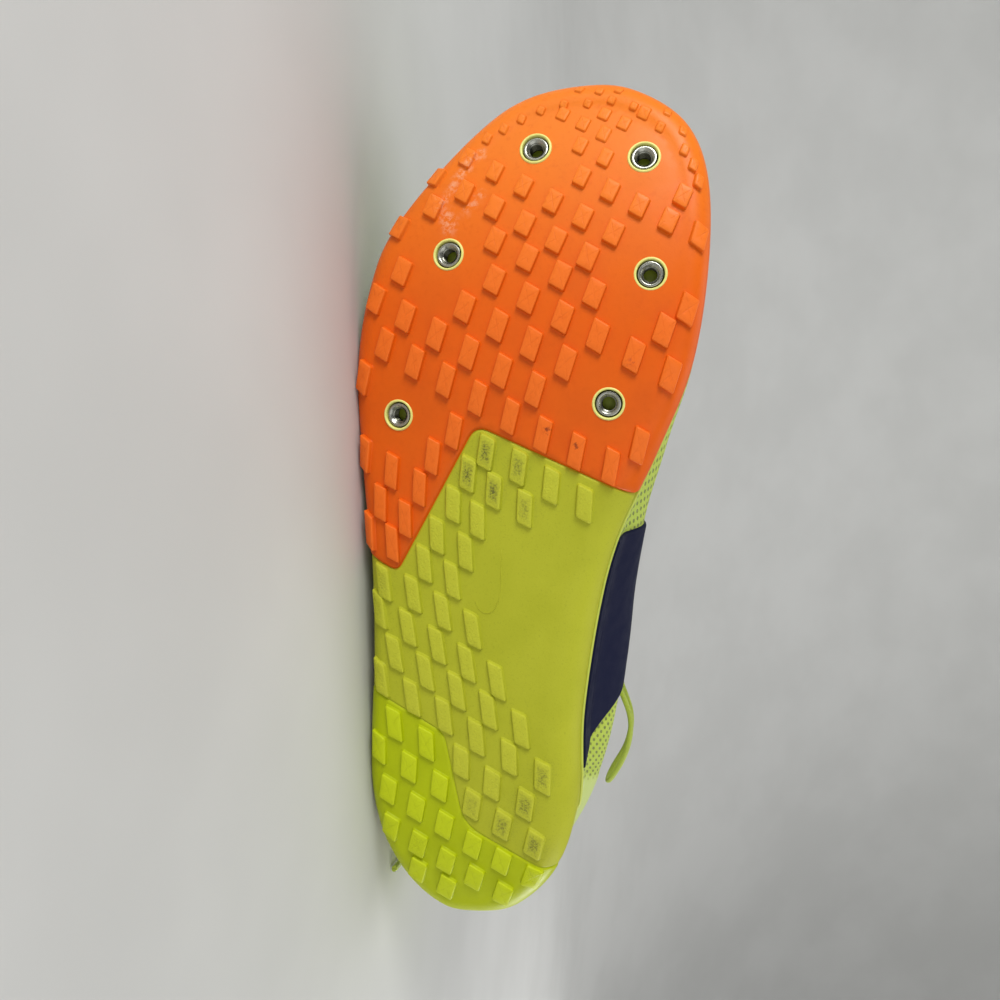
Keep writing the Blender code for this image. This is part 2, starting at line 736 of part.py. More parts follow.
def build_sole():
    """Midsole, the two rubber pieces, and the spike seats."""
    rings = bowl_rings(0.0)
    _, tree = ring_normals(rings)
    plate_line = rounded(PLATE_BORDER)
    pod_line = rounded(POD_BORDER)

    def on_plate(x, y):
        return inside(plate_line, x, y)

    def on_pod(x, y):
        return inside(pod_line, x, y)

    def on_foam(x, y):
        return not on_plate(x, y) and not on_pod(x, y)

    holes = []
    seats = []
    for k, seat in enumerate(SEATS):
        point, normal = drop(tree, seat.x, seat.y)
        holes.append(turned("hole", point, normal, [
            (0.0, 6.0), (COLLAR_R + GAP, 6.0), (COLLAR_R + GAP, -COLLAR_DEEP - GAP),
            (INSERT_R + GAP, -COLLAR_DEEP - GAP), (INSERT_R + GAP, -INSERT_DEEP - GAP),
            (0.0, -INSERT_DEEP - GAP)], SEAT_SIDES))
        collar = turned("collar", point, normal, [
            (COLLAR_R, -COLLAR_DEEP), (COLLAR_R, COLLAR_PROUD), (COLLAR_BORE, COLLAR_PROUD),
            (COLLAR_BORE, -COLLAR_DEEP)], SEAT_SIDES)
        rim = COLLAR_PROUD - INSERT_SUNK
        insert = turned("insert", point, normal, [
            (0.0, -INSERT_DEEP), (INSERT_R, -INSERT_DEEP), (INSERT_R, rim), (INSERT_BORE, rim),
            (INSERT_BORE, INSERT_FLOOR - INSERT_DEEP), (0.0, INSERT_FLOOR - INSERT_DEEP)], SEAT_SIDES)
        seats.append(put("seat_collar_%d" % (k + 1), collar, PALE, 0.4))
        seats.append(put("seat_insert_%d" % (k + 1), insert, STEEL, 0.25, 1.0))
    hole_tool = tool("seat_holes", merged("seat_holes", holes))

    plate_prism = tool("plate_outline", prism("plate_outline", plate_line, -30.0, 60.0))
    plate = put("outsole_forefoot", shell("outsole_forefoot", PLATE_THICK, 0.0), ORANGE, 0.45)
    plate_lugs = tool("plate_lugs", lugs_mesh("plate_lugs", tree, PLATE_LUG, on_plate))
    boolean(plate, "UNION", plate_lugs)
    boolean(plate, "INTERSECT", plate_prism)
    boolean(plate, "DIFFERENCE", hole_tool)

    pod_prism = tool("pod_outline", prism("pod_outline", pod_line, -30.0, 60.0))
    pod = put("outsole_heel", shell("outsole_heel", POD_THICK, 0.0), LIME, 0.5)
    pod_lugs = tool("pod_lugs", lugs_mesh("pod_lugs", tree, POD_LUG, on_pod))
    boolean(pod, "UNION", pod_lugs)
    boolean(pod, "INTERSECT", pod_prism)

    blank = bowl_rings(0.0) + [wall_ring(1.0)] + bed_rings(BED_STEP, 0.0)
    midsole = put("midsole", rings_mesh("midsole", blank), FOAM, 0.8)
    foam_lugs = tool("foam_lugs", lugs_mesh("foam_lugs", tree, FOAM_LUG, on_foam))
    boolean(midsole, "UNION", foam_lugs)
    rise = GAP / 6.0
    for name, line, thick in (("plate", PLATE_BORDER, PLATE_THICK), ("pod", POD_BORDER, POD_THICK)):
        grown = tool(name + "_room_outline", prism(name + "_room_outline", rounded(line, GAP), -40.0, 70.0))
        room = tool(name + "_room", shell(name + "_room", thick + GAP, rise, 2.4, 0.06))
        boolean(room, "INTERSECT", grown)
        boolean(midsole, "DIFFERENCE", room)
    boolean(midsole, "DIFFERENCE", hole_tool)
    return [plate, pod, midsole] + seats


def upper_columns(spots):
    """Columns of the upper table at decimal sole rows."""
    return around([r.at for r in UPPER], [tuple(r)[1:] for r in UPPER], len(SOLE), spots)


def upper_point(spots, t, lift=0.0):
    """Outer face of the upper: t is 0 at the sole and 1 at the topline; lift is along the normal."""
    spots = np.asarray(spots, float)
    t = np.broadcast_to(np.asarray(t, float), spots.shape)
    point = bare_upper(spots, t)
    if lift == 0.0:
        return point
    e = 1e-3
    along = bare_upper(spots + e, t) - bare_upper(spots - e, t)
    up = bare_upper(spots, np.minimum(t + e, 1.0)) - bare_upper(spots, np.maximum(t - e, 0.0))
    normal = np.cross(along, up)
    normal *= -EDGE_SIGN / np.linalg.norm(normal, axis=1)[:, None]
    return point + normal * lift


def bare_upper(spots, t):
    """Four points of each section joined by one smooth curve."""
    sole = sole_values(spots)
    turn = inward(spots)
    cols = upper_columns(spots)
    tread = sole[:, :2] + sole[:, 2:3] * turn
    bite_z = base_z(tread[:, 0], tread[:, 1]) + sole[:, 5]
    foot_xy = sole[:, :2] + (sole[:, 4:5] + FEATHER_IN) * turn
    foot = np.column_stack([foot_xy, bite_z + GAP])
    wide_xy = foot_xy - cols[:, 0:1] * turn
    wide = np.column_stack([wide_xy, bite_z + cols[:, 1]])
    top = cols[:, 4:7]
    shoulder_xy = wide_xy + cols[:, 2:3] * (top[:, :2] - wide_xy)
    shoulder = np.column_stack([shoulder_xy, bite_z + cols[:, 3]])
    points = np.stack([foot, wide, shoulder, top], axis=1)
    legs = np.linalg.norm(np.diff(points, axis=1), axis=2)
    knots = np.concatenate([np.zeros((len(legs), 1)), np.cumsum(legs, axis=1)], axis=1)
    knots /= knots[:, -1:]
    return np.array([hermite(k, p, np.array([s]))[0] for k, p, s in zip(knots, points, t)])


def build_upper():
    """Hollow upper with its eyelets."""
    outer = [upper_point(SPOTS, t) for t in RINGS_T]
    inner = [upper_point(SPOTS, t, -WALL) for t in RINGS_T]
    inner[0][:, 2] = outer[0][:, 2]
    upper = put("upper", rings_mesh("upper", outer + inner[::-1], True, True), MESH, 0.85)
    holes = []
    for spot in [s for pair in eyelet_spots() for s in pair]:
        point = upper_point([spot], EYELET_T)[0]
        axis = upper_point([spot], EYELET_T, 1.0)[0] - point
        holes.append(turned("eyelet", point, axis / np.linalg.norm(axis), [
            (0.0, 3.0), (EYELET_R, 3.0), (EYELET_R, -5.0), (0.0, -5.0)], 6))
    boolean(upper, "DIFFERENCE", tool("eyelet_holes", merged("eyelet_holes", holes)))
    return [upper]


def eyelet_spots():
    """Decimal sole rows of each eyelet pair, medial then lateral."""
    medial = np.linspace(5.0, TOE_ROW, 400)
    lateral = np.linspace(TOE_ROW, 25.5, 400)
    med_x = upper_point(medial, EYELET_T)[:, 0]
    lat_x = upper_point(lateral, EYELET_T)[:, 0]
    pairs = []
    for x in EYELET_X:
        pairs.append((float(np.interp(x, med_x, medial)), float(np.interp(-x, -lat_x, lateral))))
    return pairs


def build_insole():
    """Sock liner on the bed, clear of the wall."""
    low = bed_rings(BED_STEP, GAP)
    high = bed_rings(BED_STEP, GAP + INSOLE_THICK)
    return [put("insole", rings_mesh("insole", low[::-1] + high), LINING, 0.9)]


def saddle(name, panel):
    """Thin panel a gap outside the upper, on the same facets, cut front and back by slanting lines."""
    picked = SPOTS[(SPOTS > panel.first) & (SPOTS < panel.last)]
    heights = RINGS_T[:-1]
    low = np.array([upper_point(picked, t, GAP) for t in heights])
    high = np.array([upper_point(picked, t, GAP + SADDLE_THICK) for t in heights])
    thing = put(name, sheet_mesh(name, low, high, True), NAVY, 0.5)
    line = [(panel.back_low, PANEL_LOW), (panel.back_high, PANEL_HIGH),
            (panel.front_high, PANEL_HIGH), (panel.front_low, PANEL_LOW)]
    block = [(x, y, z) for y in (-90.0, 90.0) for x, z in line]
    sides = [(0, 1, 2, 3), (4, 5, 6, 7)] + [(i, (i + 1) % 4, 4 + (i + 1) % 4, 4 + i) for i in range(4)]
    boolean(thing, "INTERSECT", tool(name + "_cut", mesh_from(name + "_cut", block, sides)))
    return thing


def sheet_mesh(name, low, high, fixed=False):
    """Closed sheet between two grids of the same size."""
    rows, cols = low.shape[:2]
    verts = np.concatenate([low.reshape(-1, 3), high.reshape(-1, 3)])
    shift = rows * cols
    faces = []
    for r in range(rows - 1):
        for c in range(cols - 1):
            a = r * cols + c
            quad = (a, a + 1, a + cols + 1, a + cols)
            faces.append(quad)
            faces.append(tuple(shift + i for i in quad))
    rim = [c for c in range(cols)]
    rim += [r * cols + cols - 1 for r in range(1, rows)]
    rim += [(rows - 1) * cols + c for c in range(cols - 2, -1, -1)]
    rim += [r * cols for r in range(rows - 2, 0, -1)]
    for k, a in enumerate(rim):
        b = rim[(k + 1) % len(rim)]
        faces.append((a, b, shift + b, shift + a))
    return mesh_from(name, verts, faces, fixed)


def surface_tree(rings):
    """Search tree of an open surface through rings."""
    verts = [Vector(p) for p in np.concatenate(rings)]
    return BVHTree.FromPolygons(verts, ring_faces(len(rings), AROUND, False))


def tongue_grid():
    """Top face of the tongue: under the wall of the upper, crowned across the throat."""
    inner = surface_tree([upper_point(SPOTS, t, -WALL) for t in RINGS_T])
    side = np.linspace(-1.0, 1.0, TONGUE_ACROSS + 1)
    grid = []
    for row in TONGUE:
        reach = max(row.x, 112.0)
        line = []
        for v in side:
            y = CENTRE_Y + v * row.half
            hit = inner.ray_cast(Vector((reach, y, 45.0)), Vector((0, 0, 1)))[0]
            line.append(np.nan if hit is None else hit.z - TONGUE_CLEAR)
        line = np.array(line)
        open_part = np.isnan(line)
        if open_part.any():
            edge = hermite_edges(reach)
            y = CENTRE_Y + side * row.half
            crown = THROAT_CROWN * min(edge[1] / THROAT_HALF, 1.0) ** 3
            arch = edge[2] - TONGUE_CLEAR - WALL
            arch = arch + crown * (1.0 - np.clip((y - CENTRE_Y) / edge[1], -1.0, 1.0) ** 2)
            line[open_part] = arch[open_part]
        line = line + row.rise
        grid.append(np.column_stack([np.full(len(side), row.x), CENTRE_Y + side * row.half, line]))
    return np.array(grid)


def hermite_edges(x):
    """Throat at a station: middle, half width and height of its two edges."""
    medial = upper_point(np.linspace(6.0, TOE_ROW, 300), 1.0)
    lateral = upper_point(np.linspace(TOE_ROW, 24.0, 300), 1.0)
    med = [np.interp(x, medial[:, 0], medial[:, k]) for k in (1, 2)]
    lat = [np.interp(-x, -lateral[:, 0], lateral[:, k]) for k in (1, 2)]
    return (med[0] + lat[0]) / 2, max((med[0] - lat[0]) / 2, 4.0), (med[1] + lat[1]) / 2


def build_tongue():
    """Tongue under the throat."""
    high = tongue_grid()
    low = high - np.array([0.0, 0.0, TONGUE_THICK])
    return [put("tongue", sheet_mesh("tongue", low, high), MESH, 0.9)]


def strip_mesh(name, paths, wide, thick):
    """Flat straps along paths, one block chain each, in one mesh."""
    verts = []
    faces = []
    for path in paths:
        path = np.asarray(path, float)
        ahead = np.gradient(path, axis=0)
        ahead /= np.linalg.norm(ahead, axis=1)[:, None]
        side = np.cross(ahead, np.array([0.0, 0.0, 1.0]))
        side /= np.linalg.norm(side, axis=1)[:, None]
        over = np.cross(side, ahead)
        start = len(verts)
        for point, s, o in zip(path, side, over):
            for a, b in ((-1, -1), (1, -1), (1, 1), (-1, 1)):
                verts.append(point + a * s * wide / 2 + b * o * thick / 2)
        last = start + 4 * (len(path) - 1)
        faces.append((start, start + 1, start + 2, start + 3))
        faces.append((last, last + 1, last + 2, last + 3))
        for k in range(len(path) - 1):
            for c in range(4):
                a = start + 4 * k + c
                b = start + 4 * k + (c + 1) % 4
                faces.append((a, b, b + 4, a + 4))
    return mesh_from(name, verts, faces)


LACE_CLEAR = 1.4


def pulled_taut(run, ground):
    """Lowest line over the ground that never bends upwards."""
    keep = []
    for k in range(len(run)):
        while len(keep) > 1:
            i, j = keep[-2], keep[-1]
            if (ground[j] - ground[i]) * (run[k] - run[i]) > (ground[k] - ground[i]) * (run[j] - run[i]):
                break
            keep.pop()
        keep.append(k)
    return np.interp(run, run[keep], ground[keep])


def lace_paths():
    """Paths of the crossings one way, the other way, and the front bar with the top tie."""
    outer = surface_tree([upper_point(SPOTS, t) for t in RINGS_T])
    grid = tongue_grid()
    rows, cols = grid.shape[:2]
    faces = [(r * cols + c, r * cols + c + 1, (r + 1) * cols + c + 1, (r + 1) * cols + c)
             for r in range(rows - 1) for c in range(cols - 1)]
    under = BVHTree.FromPolygons([Vector(p) for p in grid.reshape(-1, 3)], faces)

    def height(x, y):
        reach = LACE_W / 2
        best = 0.0
        for tree in (outer, under):
            for dx, dy in ((0, 0), (-reach, 0), (reach, 0), (0, -reach), (0, reach)):
                hit = tree.ray_cast(Vector((x + dx, y + dy, 160.0)), Vector((0, 0, -1)))[0]
                if hit is not None:
                    best = max(best, hit.z)
        return best

    def lay(a, b, steps, extra):
        fine = np.linspace(0.0, 1.0, 33)
        ground = np.array([height(*(a + (b - a) * s)) for s in fine])
        taut = pulled_taut(fine, ground)
        coarse = np.linspace(0.0, 1.0, steps + 1)
        line = np.interp(coarse, fine, taut)
        line = line + max(0.0, np.max(taut - np.interp(fine, coarse, line)))
        return [(*(a + (b - a) * s), z + LACE_CLEAR + extra) for s, z in zip(coarse, line)]

    ends = []
    for medial, lateral in eyelet_spots():
        ends.append([upper_point([s], EYELET_T)[0][:2] for s in (medial, lateral)])

    pairs = range(len(ends) - 1)
    one = [lay(ends[k][0], ends[k + 1][1], 4, 0.0) for k in pairs]
    two = [lay(ends[k][1], ends[k + 1][0], 4, 0.3) for k in pairs]
    three = [lay(ends[-1][0], ends[-1][1], 4, 0.6), lay(ends[0][0], ends[0][1], 4, 0.6)]
    return one, two, three


def build_lace():
    """Joined crossings over the throat, and the knot on the top tie."""
    one, two, three = lace_paths()
    bars = put("lace_bars", strip_mesh("lace_bars", one, LACE_W, LACE_T), MESH, 0.8)
    boolean(bars, "UNION", tool("lace_back", strip_mesh("lace_back", two, LACE_W, LACE_T)))
    boolean(bars, "UNION", tool("lace_ends", strip_mesh("lace_ends", three, LACE_W, LACE_T)))
    tie = np.array(three[1])
    seat = np.array([tie[:, 0].mean(), CENTRE_Y, tie[:, 2].max() + LACE_T / 2 + GAP + KNOT_HALF[2]])
    bm = bmesh.new()
    bmesh.ops.create_icosphere(bm, subdivisions=2, radius=1.0)
    for vert in bm.verts:
        vert.co = Vector([seat[k] + KNOT_HALF[k] * vert.co[k] for k in range(3)]) * MM
    mesh = bpy.data.meshes.new("lace_knot")
    bm.to_mesh(mesh)
    bm.free()
    return [bars, put("lace_knot", mesh, MESH, 0.8)]


def cord_path(rows, pose):
    """Smooth path through rows, evenly stepped, kept on or above the floor."""
    spots = np.array([above_floor(row, pose) for row in rows])
    run = np.concatenate([[0.0], np.cumsum(np.linalg.norm(np.diff(spots, axis=0), axis=1))])
    steps = max(6, round(run[-1] / CORD_STEP))
    path = hermite(run, spots, np.linspace(0.0, run[-1], steps + 1))
    return np.array([above_floor(point, pose) for point in path])


def above_floor(point, pose):
    """The point, lifted to rest on the floor where it would be below it."""
    x, y, z = point
    floor = CORD_R * 1.08 - pose[2][3] / MM
    lowest = (floor - pose[2][0] * x - pose[2][2] * z) / pose[2][1]
    return x, max(y, lowest), z


def cord(name, rows, pose):
    """Round cord along a path, closed by its ends."""
    path = cord_path(rows, pose)
    ahead = np.gradient(path, axis=0)
    ahead /= np.linalg.norm(ahead, axis=1)[:, None]
    side = np.cross(ahead[0], (0.31, 0.2, 0.93))
    rings = []
    for point, way in zip(path, ahead):
        side = side - way * (side @ way)
        side /= np.linalg.norm(side)
        over = np.cross(way, side)
        angles = np.arange(CORD_SIDES) * 2 * math.pi / CORD_SIDES
        rings.append(np.array([point + CORD_R * (math.cos(a) * side + math.sin(a) * over) for a in angles]))
    count = len(rings) * CORD_SIDES
    faces = ring_faces(len(rings), CORD_SIDES, False)
    faces += [tuple(range(CORD_SIDES)), tuple(range(count - CORD_SIDES, count))]
    return put(name, mesh_from(name, np.concatenate(rings), faces), MESH, 0.8)


def lying(things):
    """World matrix that lays the shoe on its side, lowest point on the floor, box centred over the origin."""
    base = Matrix(((-1.0, 0.0, 0.0), (0.0, 0.0, 1.0), (0.0, 1.0, 0.0)))
    turn = Matrix.Rotation(ROLL, 3, "X") @ Matrix.Rotation(PITCH, 3, "Y") @ base
    view = bpy.context.evaluated_depsgraph_get()
    spots = []
    for thing in things:
        shape = thing.evaluated_get(view)
        spots += [turn @ vert.co for vert in shape.data.vertices]
    spots = np.array(spots)
    low = spots.min(axis=0)
    high = spots.max(axis=0)
    shift = Vector((-(low[0] + high[0]) / 2, -(low[1] + high[1]) / 2, -low[2]))
    return Matrix.Translation(shift) @ turn.to_4x4()


def build_all():
    """All parts, laid on the floor."""
    things = build_sole()
    things += build_upper()
    things += build_insole()
    things += build_tongue()
    things += [saddle("saddle_medial", SADDLE_MEDIAL), saddle("saddle_lateral", SADDLE_LATERAL)]
    bars, knot = build_lace()
    pose = lying(things + [bars])
    things += [bars, knot]
    things.append(cord("lace_loop_medial", LACE_LOOP_MEDIAL, pose))
    things.append(cord("lace_loop_lateral", LACE_LOOP_LATERAL, pose))
    things.append(cord("lace_end_heel", LACE_END_HEEL, pose))
    things.append(cord("lace_end_toe", LACE_END_TOE, pose))
    hold = bpy.data.objects.new("lying_pose", None)
    collection("cutters").objects.link(hold)
    hold.matrix_world = pose
    for thing in things + list(collection("cutters").objects):
        if thing is not hold:
            thing.parent = hold
    return things


for old in list(bpy.data.objects):
    bpy.data.objects.remove(old)
build_all()
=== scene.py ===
"""Looks of a cross country spike, a right shoe that lies on its lateral side.

Shapes are worked out in the shoe's own frame in millimetres, x from heel to toe, y to the medial side, z up
from the ground. They are then laid on the floor, in metres, where the solids of the frame are.
"""
import json
import logging
import math
from dataclasses import dataclass, field
from enum import Enum
from typing import NamedTuple, Sequence

import bmesh
import bpy
import numpy as np
from mathutils import Matrix, Vector, geometry
from mathutils.bvhtree import BVHTree
from mathutils.kdtree import KDTree

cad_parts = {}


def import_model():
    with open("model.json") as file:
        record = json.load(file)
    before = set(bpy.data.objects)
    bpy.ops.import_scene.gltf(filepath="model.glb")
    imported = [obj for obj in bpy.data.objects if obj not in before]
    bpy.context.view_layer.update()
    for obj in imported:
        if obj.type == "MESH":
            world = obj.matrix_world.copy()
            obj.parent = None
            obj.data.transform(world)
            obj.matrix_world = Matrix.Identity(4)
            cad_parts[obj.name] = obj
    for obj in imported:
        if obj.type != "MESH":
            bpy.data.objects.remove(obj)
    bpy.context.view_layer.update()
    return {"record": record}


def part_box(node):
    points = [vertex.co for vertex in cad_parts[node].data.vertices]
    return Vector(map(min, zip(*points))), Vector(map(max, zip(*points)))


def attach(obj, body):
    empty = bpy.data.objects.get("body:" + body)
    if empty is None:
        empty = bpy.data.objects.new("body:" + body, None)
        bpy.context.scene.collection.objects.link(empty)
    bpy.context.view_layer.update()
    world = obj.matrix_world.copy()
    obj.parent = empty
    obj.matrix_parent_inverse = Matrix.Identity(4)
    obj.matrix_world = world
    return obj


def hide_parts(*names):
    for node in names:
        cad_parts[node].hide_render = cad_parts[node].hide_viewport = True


LOG = logging.getLogger("spike")
MM = 0.001
BODY = "root"
MERGE = 4e-6
SCRAP = 2e-6
Colour = tuple[float, float, float]
Point = tuple[float, float, float]
Array = np.ndarray
Values = dict[str, Array]
Thing = bpy.types.Object
Mesh = bpy.types.Mesh
Paint = bpy.types.Material
Socket = bpy.types.NodeSocket


class SoleRow(NamedTuple):
    """Station on the sole edge: plan place, round of the lower edge, and the line where the upper starts."""

    x: float
    y: float
    tread_in: float
    round_h: float
    bite_in: float
    bite_h: float


class UpperRow(NamedTuple):
    """Section of the upper: sole row it stands on, widest point, shoulder, and the point on the topline."""

    at: float
    bulge: float
    bulge_z: float
    shoulder: float
    shoulder_z: float
    top_x: float
    top_y: float
    top_z: float


class Corner(NamedTuple):
    """Corner of a border in plan, with its rounding."""

    x: float
    y: float
    r: float


class LugRow(NamedTuple):
    """Slanting row of lugs: the lug numbered 0, the step along the row, and the lugs in it."""

    x: float
    y: float
    pitch: float
    first: int
    last: int
    missing: tuple[int, ...]


class LugForm(NamedTuple):
    """Short side and long side of a lug at a station, in plan."""

    x: float
    short_x: float
    short_y: float
    long_x: float
    long_y: float


class TongueRow(NamedTuple):
    """Section of the tongue: half width, and rise above the section at the last eyelets."""

    x: float
    half: float
    rise: float


class LugSize(NamedTuple):
    """Height of a lug, shares of its short and long side, and the rounding of its corners."""

    high: float
    short: float
    long: float
    corner: float


class Mark(NamedTuple):
    """Small worn spot in plan: its radius and how dark it is."""

    x: float
    y: float
    radius: float
    weight: float


class Side(Enum):
    """The two sides of the shoe."""

    MEDIAL = "medial"
    LATERAL = "lateral"


class Slot(Enum):
    """Material slots of the record."""

    MESH = "mesh"
    LINING = "lining"
    FOAM = "foam"
    ORANGE = "orange_rubber"
    LIME = "lime_rubber"
    PALE = "pale_rubber"
    STEEL = "steel"
    NAVY = "navy"
    LACE = "lace"


class Zone(Enum):
    """Regions of the underside."""

    FOAM = 0
    PLATE = 1
    POD = 2


# Far below the floor on the lateral side: a lace point there is lifted to lie on the floor
ON_FLOOR = -90.0

# Sole edge from the heel along the medial side to the toe and back
SOLE = [SoleRow(*row) for row in (
    (4.0, -4.5, 8.0, 8.0, 1.5, 17.0), (8.6, 11.2, 8.0, 8.0, 1.5, 17.0), (17.4, 20.6, 8.0, 7.5, 1.2, 17.5),
    (29.8, 28.0, 8.0, 7.0, 1.0, 18.0), (44.0, 32.0, 8.5, 8.0, 0.6, 18.0),
    (61.3, 32.9, 10.0, 9.5, 0.0, 18.0), (85.6, 30.9, 13.0, 11.0, -0.5, 18.5),
    (121.5, 32.5, 13.0, 11.0, -0.5, 18.0), (146.8, 36.6, 11.0, 9.0, -0.3, 16.0),
    (174.6, 45.9, 7.5, 6.0, 0.5, 13.0), (200.8, 53.1, 7.0, 5.0, 0.8, 11.5),
    (229.3, 54.3, 7.0, 5.0, 0.8, 11.0), (255.0, 51.0, 7.0, 5.5, 0.8, 11.0),
    (271.0, 43.0, 7.0, 6.5, 0.8, 11.0), (279.8, 29.3, 7.0, 7.0, 0.8, 11.0),
    (282.4, 14.5, 7.0, 7.0, 0.8, 11.0), (277.5, -6.3, 7.0, 6.5, 0.8, 11.0),
    (264.6, -21.7, 7.0, 5.5, 0.8, 11.0), (236.3, -42.3, 7.0, 5.0, 0.8, 11.0),
    (217.0, -49.0, 7.0, 5.0, 0.8, 11.2), (190.0, -51.2, 7.0, 5.0, 0.8, 11.5),
    (160.6, -47.5, 6.5, 5.0, 0.8, 13.0), (128.0, -42.5, 6.5, 5.0, 0.8, 15.0),
    (95.0, -40.0, 6.5, 5.0, 0.8, 17.0), (68.0, -39.6, 6.5, 5.5, 0.8, 18.0),
    (49.4, -38.5, 6.5, 6.0, 0.8, 18.0), (33.0, -34.6, 7.0, 6.5, 1.0, 18.0),
    (21.6, -29.2, 7.5, 7.0, 1.2, 17.5), (12.2, -22.4, 8.0, 8.0, 1.5, 17.0),
    (5.8, -13.6, 8.0, 8.0, 1.5, 17.0),
)]

# Upper over those rows
UPPER = [UpperRow(*row) for row in (
    (0, 2.0, 16.0, 0.35, 40.0, 11.0, -3.5, 83.0), (2, 1.0, 20.0, 0.50, 40.0, 18.5, 14.5, 79.5),
    (4, 3.0, 24.0, 0.50, 37.0, 43.0, 25.0, 67.0), (5, 5.0, 25.0, 0.50, 36.0, 62.0, 27.5, 65.0),
    (6, 9.0, 25.0, 0.50, 43.0, 87.0, 22.5, 74.5), (7, 8.0, 23.0, 0.52, 49.0, 116.0, 16.5, 86.5),
    (8, 6.0, 20.0, 0.50, 45.0, 141.0, 15.0, 80.5), (9, 2.5, 16.0, 0.48, 42.0, 163.0, 13.5, 75.0),
    (10, 1.0, 13.0, 0.45, 38.0, 180.0, 12.0, 71.0), (11, 0.3, 11.0, 0.40, 33.0, 190.0, 9.5, 69.0),
    (13, 0.0, 10.0, 0.26, 24.0, 194.5, 6.0, 68.0), (15, 0.0, 9.5, 0.19, 21.5, 196.0, 2.5, 67.5),
    (17, 0.0, 10.0, 0.27, 23.5, 194.5, -1.0, 68.0), (18, 0.3, 11.0, 0.40, 29.0, 190.0, -4.5, 69.0),
    (20, 0.0, 13.0, 0.45, 35.0, 174.0, -8.0, 72.5), (21, 4.0, 24.0, 0.42, 42.0, 152.0, -9.5, 78.0),
    (22, 6.4, 24.0, 0.46, 46.0, 122.0, -11.5, 85.0), (23, 3.6, 24.0, 0.50, 45.0, 97.0, -16.5, 80.0),
    (24, 2.0, 23.0, 0.50, 37.0, 70.0, -25.5, 65.5), (25, 1.5, 23.0, 0.50, 35.0, 52.0, -27.5, 63.5),
    (26, 0.5, 22.0, 0.50, 38.0, 36.0, -25.0, 68.0), (28, 0.8, 18.0, 0.50, 40.0, 18.0, -18.5, 79.5),
)]

# Borders of the two rubber pieces, run out past the sole edge
PLATE_BORDER = [Corner(*row) for row in (
    (290.0, 80.0, 0.0), (157.0, 80.0, 0.0), (161.5, 41.5, 4.0), (177.8, -9.2, 5.0), (127.5, -32.0, 3.0),
    (137.5, -60.0, 0.0), (290.0, -80.0, 0.0),
)]
POD_BORDER = [Corner(*row) for row in (
    (-20.0, -60.0, 0.0), (94.0, -60.0, 0.0), (74.5, -12.6, 6.0), (43.0, -3.5, 14.0), (32.5, 24.0, 8.0),
    (33.5, 50.0, 0.0), (-20.0, 50.0, 0.0),
)]

# Rows of lugs from toe to heel, and the form of a lug along the shoe
LUG_ROWS = [LugRow(*row) for row in (
    (273.6, 30.2, 6.6, 0, 0, ()), (272.8, 18.5, 6.3, 0, 1, ()), (269.5, 12.6, 6.7, -1, 1, ()),
    (262.8, 12.9, 8.0, 0, 4, (2, 3)), (253.4, 14.9, 9.0, 0, 4, ()), (245.6, 7.4, 9.6, -3, 2, ()),
    (238.7, -0.1, 10.1, -3, 5, (3, 4)), (228.8, 2.1, 10.6, -3, 4, (-2, 3)),
    (217.1, 3.8, 11.0, -4, 4, (-3, -2)), (208.5, -4.6, 10.9, -3, 2, (-2,)),
    (195.2, -2.0, 10.8, -4, 4, (2, 3)), (181.9, 1.8, 10.6, -4, 3, ()), (171.0, -5.1, 10.6, -4, 3, (-3, -2)),
    (158.2, -1.7, 10.2, -2, 1, ()), (148.1, -6.2, 9.8, -4, 0, ()), (137.4, -9.4, 9.8, -3, 0, ()),
    (127.5, -13.1, 9.7, -3, 0, ()), (112.2, -5.2, 10.4, -3, 0, ()), (100.5, -6.3, 10.4, -3, 1, ()),
    (90.3, -9.0, 11.1, -2, 2, ()), (75.5, -1.2, 11.5, -3, 2, ()), (60.1, 5.3, 11.7, -3, 1, ()),
    (50.9, -1.3, 11.2, -3, 2, ()), (37.5, 0.3, 10.3, -3, 2, ()), (23.6, 1.4, 10.2, -3, 1, ()),
    (16.8, -8.5, 10.6, -1, 0, ()),
)]
LUG_FORMS = [LugForm(*row) for row in (
    (10.0, -2.3, 5.0, -9.5, -2.4), (40.0, -2.1, 5.1, -9.6, -1.5), (58.0, -2.0, 5.1, -10.2, -0.2),
    (75.0, -1.6, 4.8, -11.8, 1.8), (106.0, -1.4, 4.5, -12.0, 2.7), (145.0, -1.6, 4.4, -11.5, 1.0),
    (190.0, -2.1, 4.6, -9.8, -1.9), (208.0, -2.4, 5.0, -8.8, -2.0), (230.0, -2.2, 4.9, -7.2, -2.1),
    (245.0, -2.1, 4.4, -6.5, -2.0), (260.0, -1.7, 3.5, -5.4, -1.6), (276.0, -1.4, 3.2, -3.6, -1.2),
)]

# Tongue from its front end to the collar
TONGUE = [TongueRow(*row) for row in (
    (208.0, 13.0, 0.0), (197.0, 19.0, 0.0), (186.0, 23.0, 0.0), (172.0, 25.0, 0.0), (156.0, 26.0, 0.0),
    (140.0, 26.0, 0.0), (125.0, 24.0, 0.0), (117.0, 17.0, 0.0), (110.0, 12.5, 0.5), (104.0, 13.0, 4.5),
    (97.0, 14.0, 10.0), (91.0, 14.0, 16.0),
)]

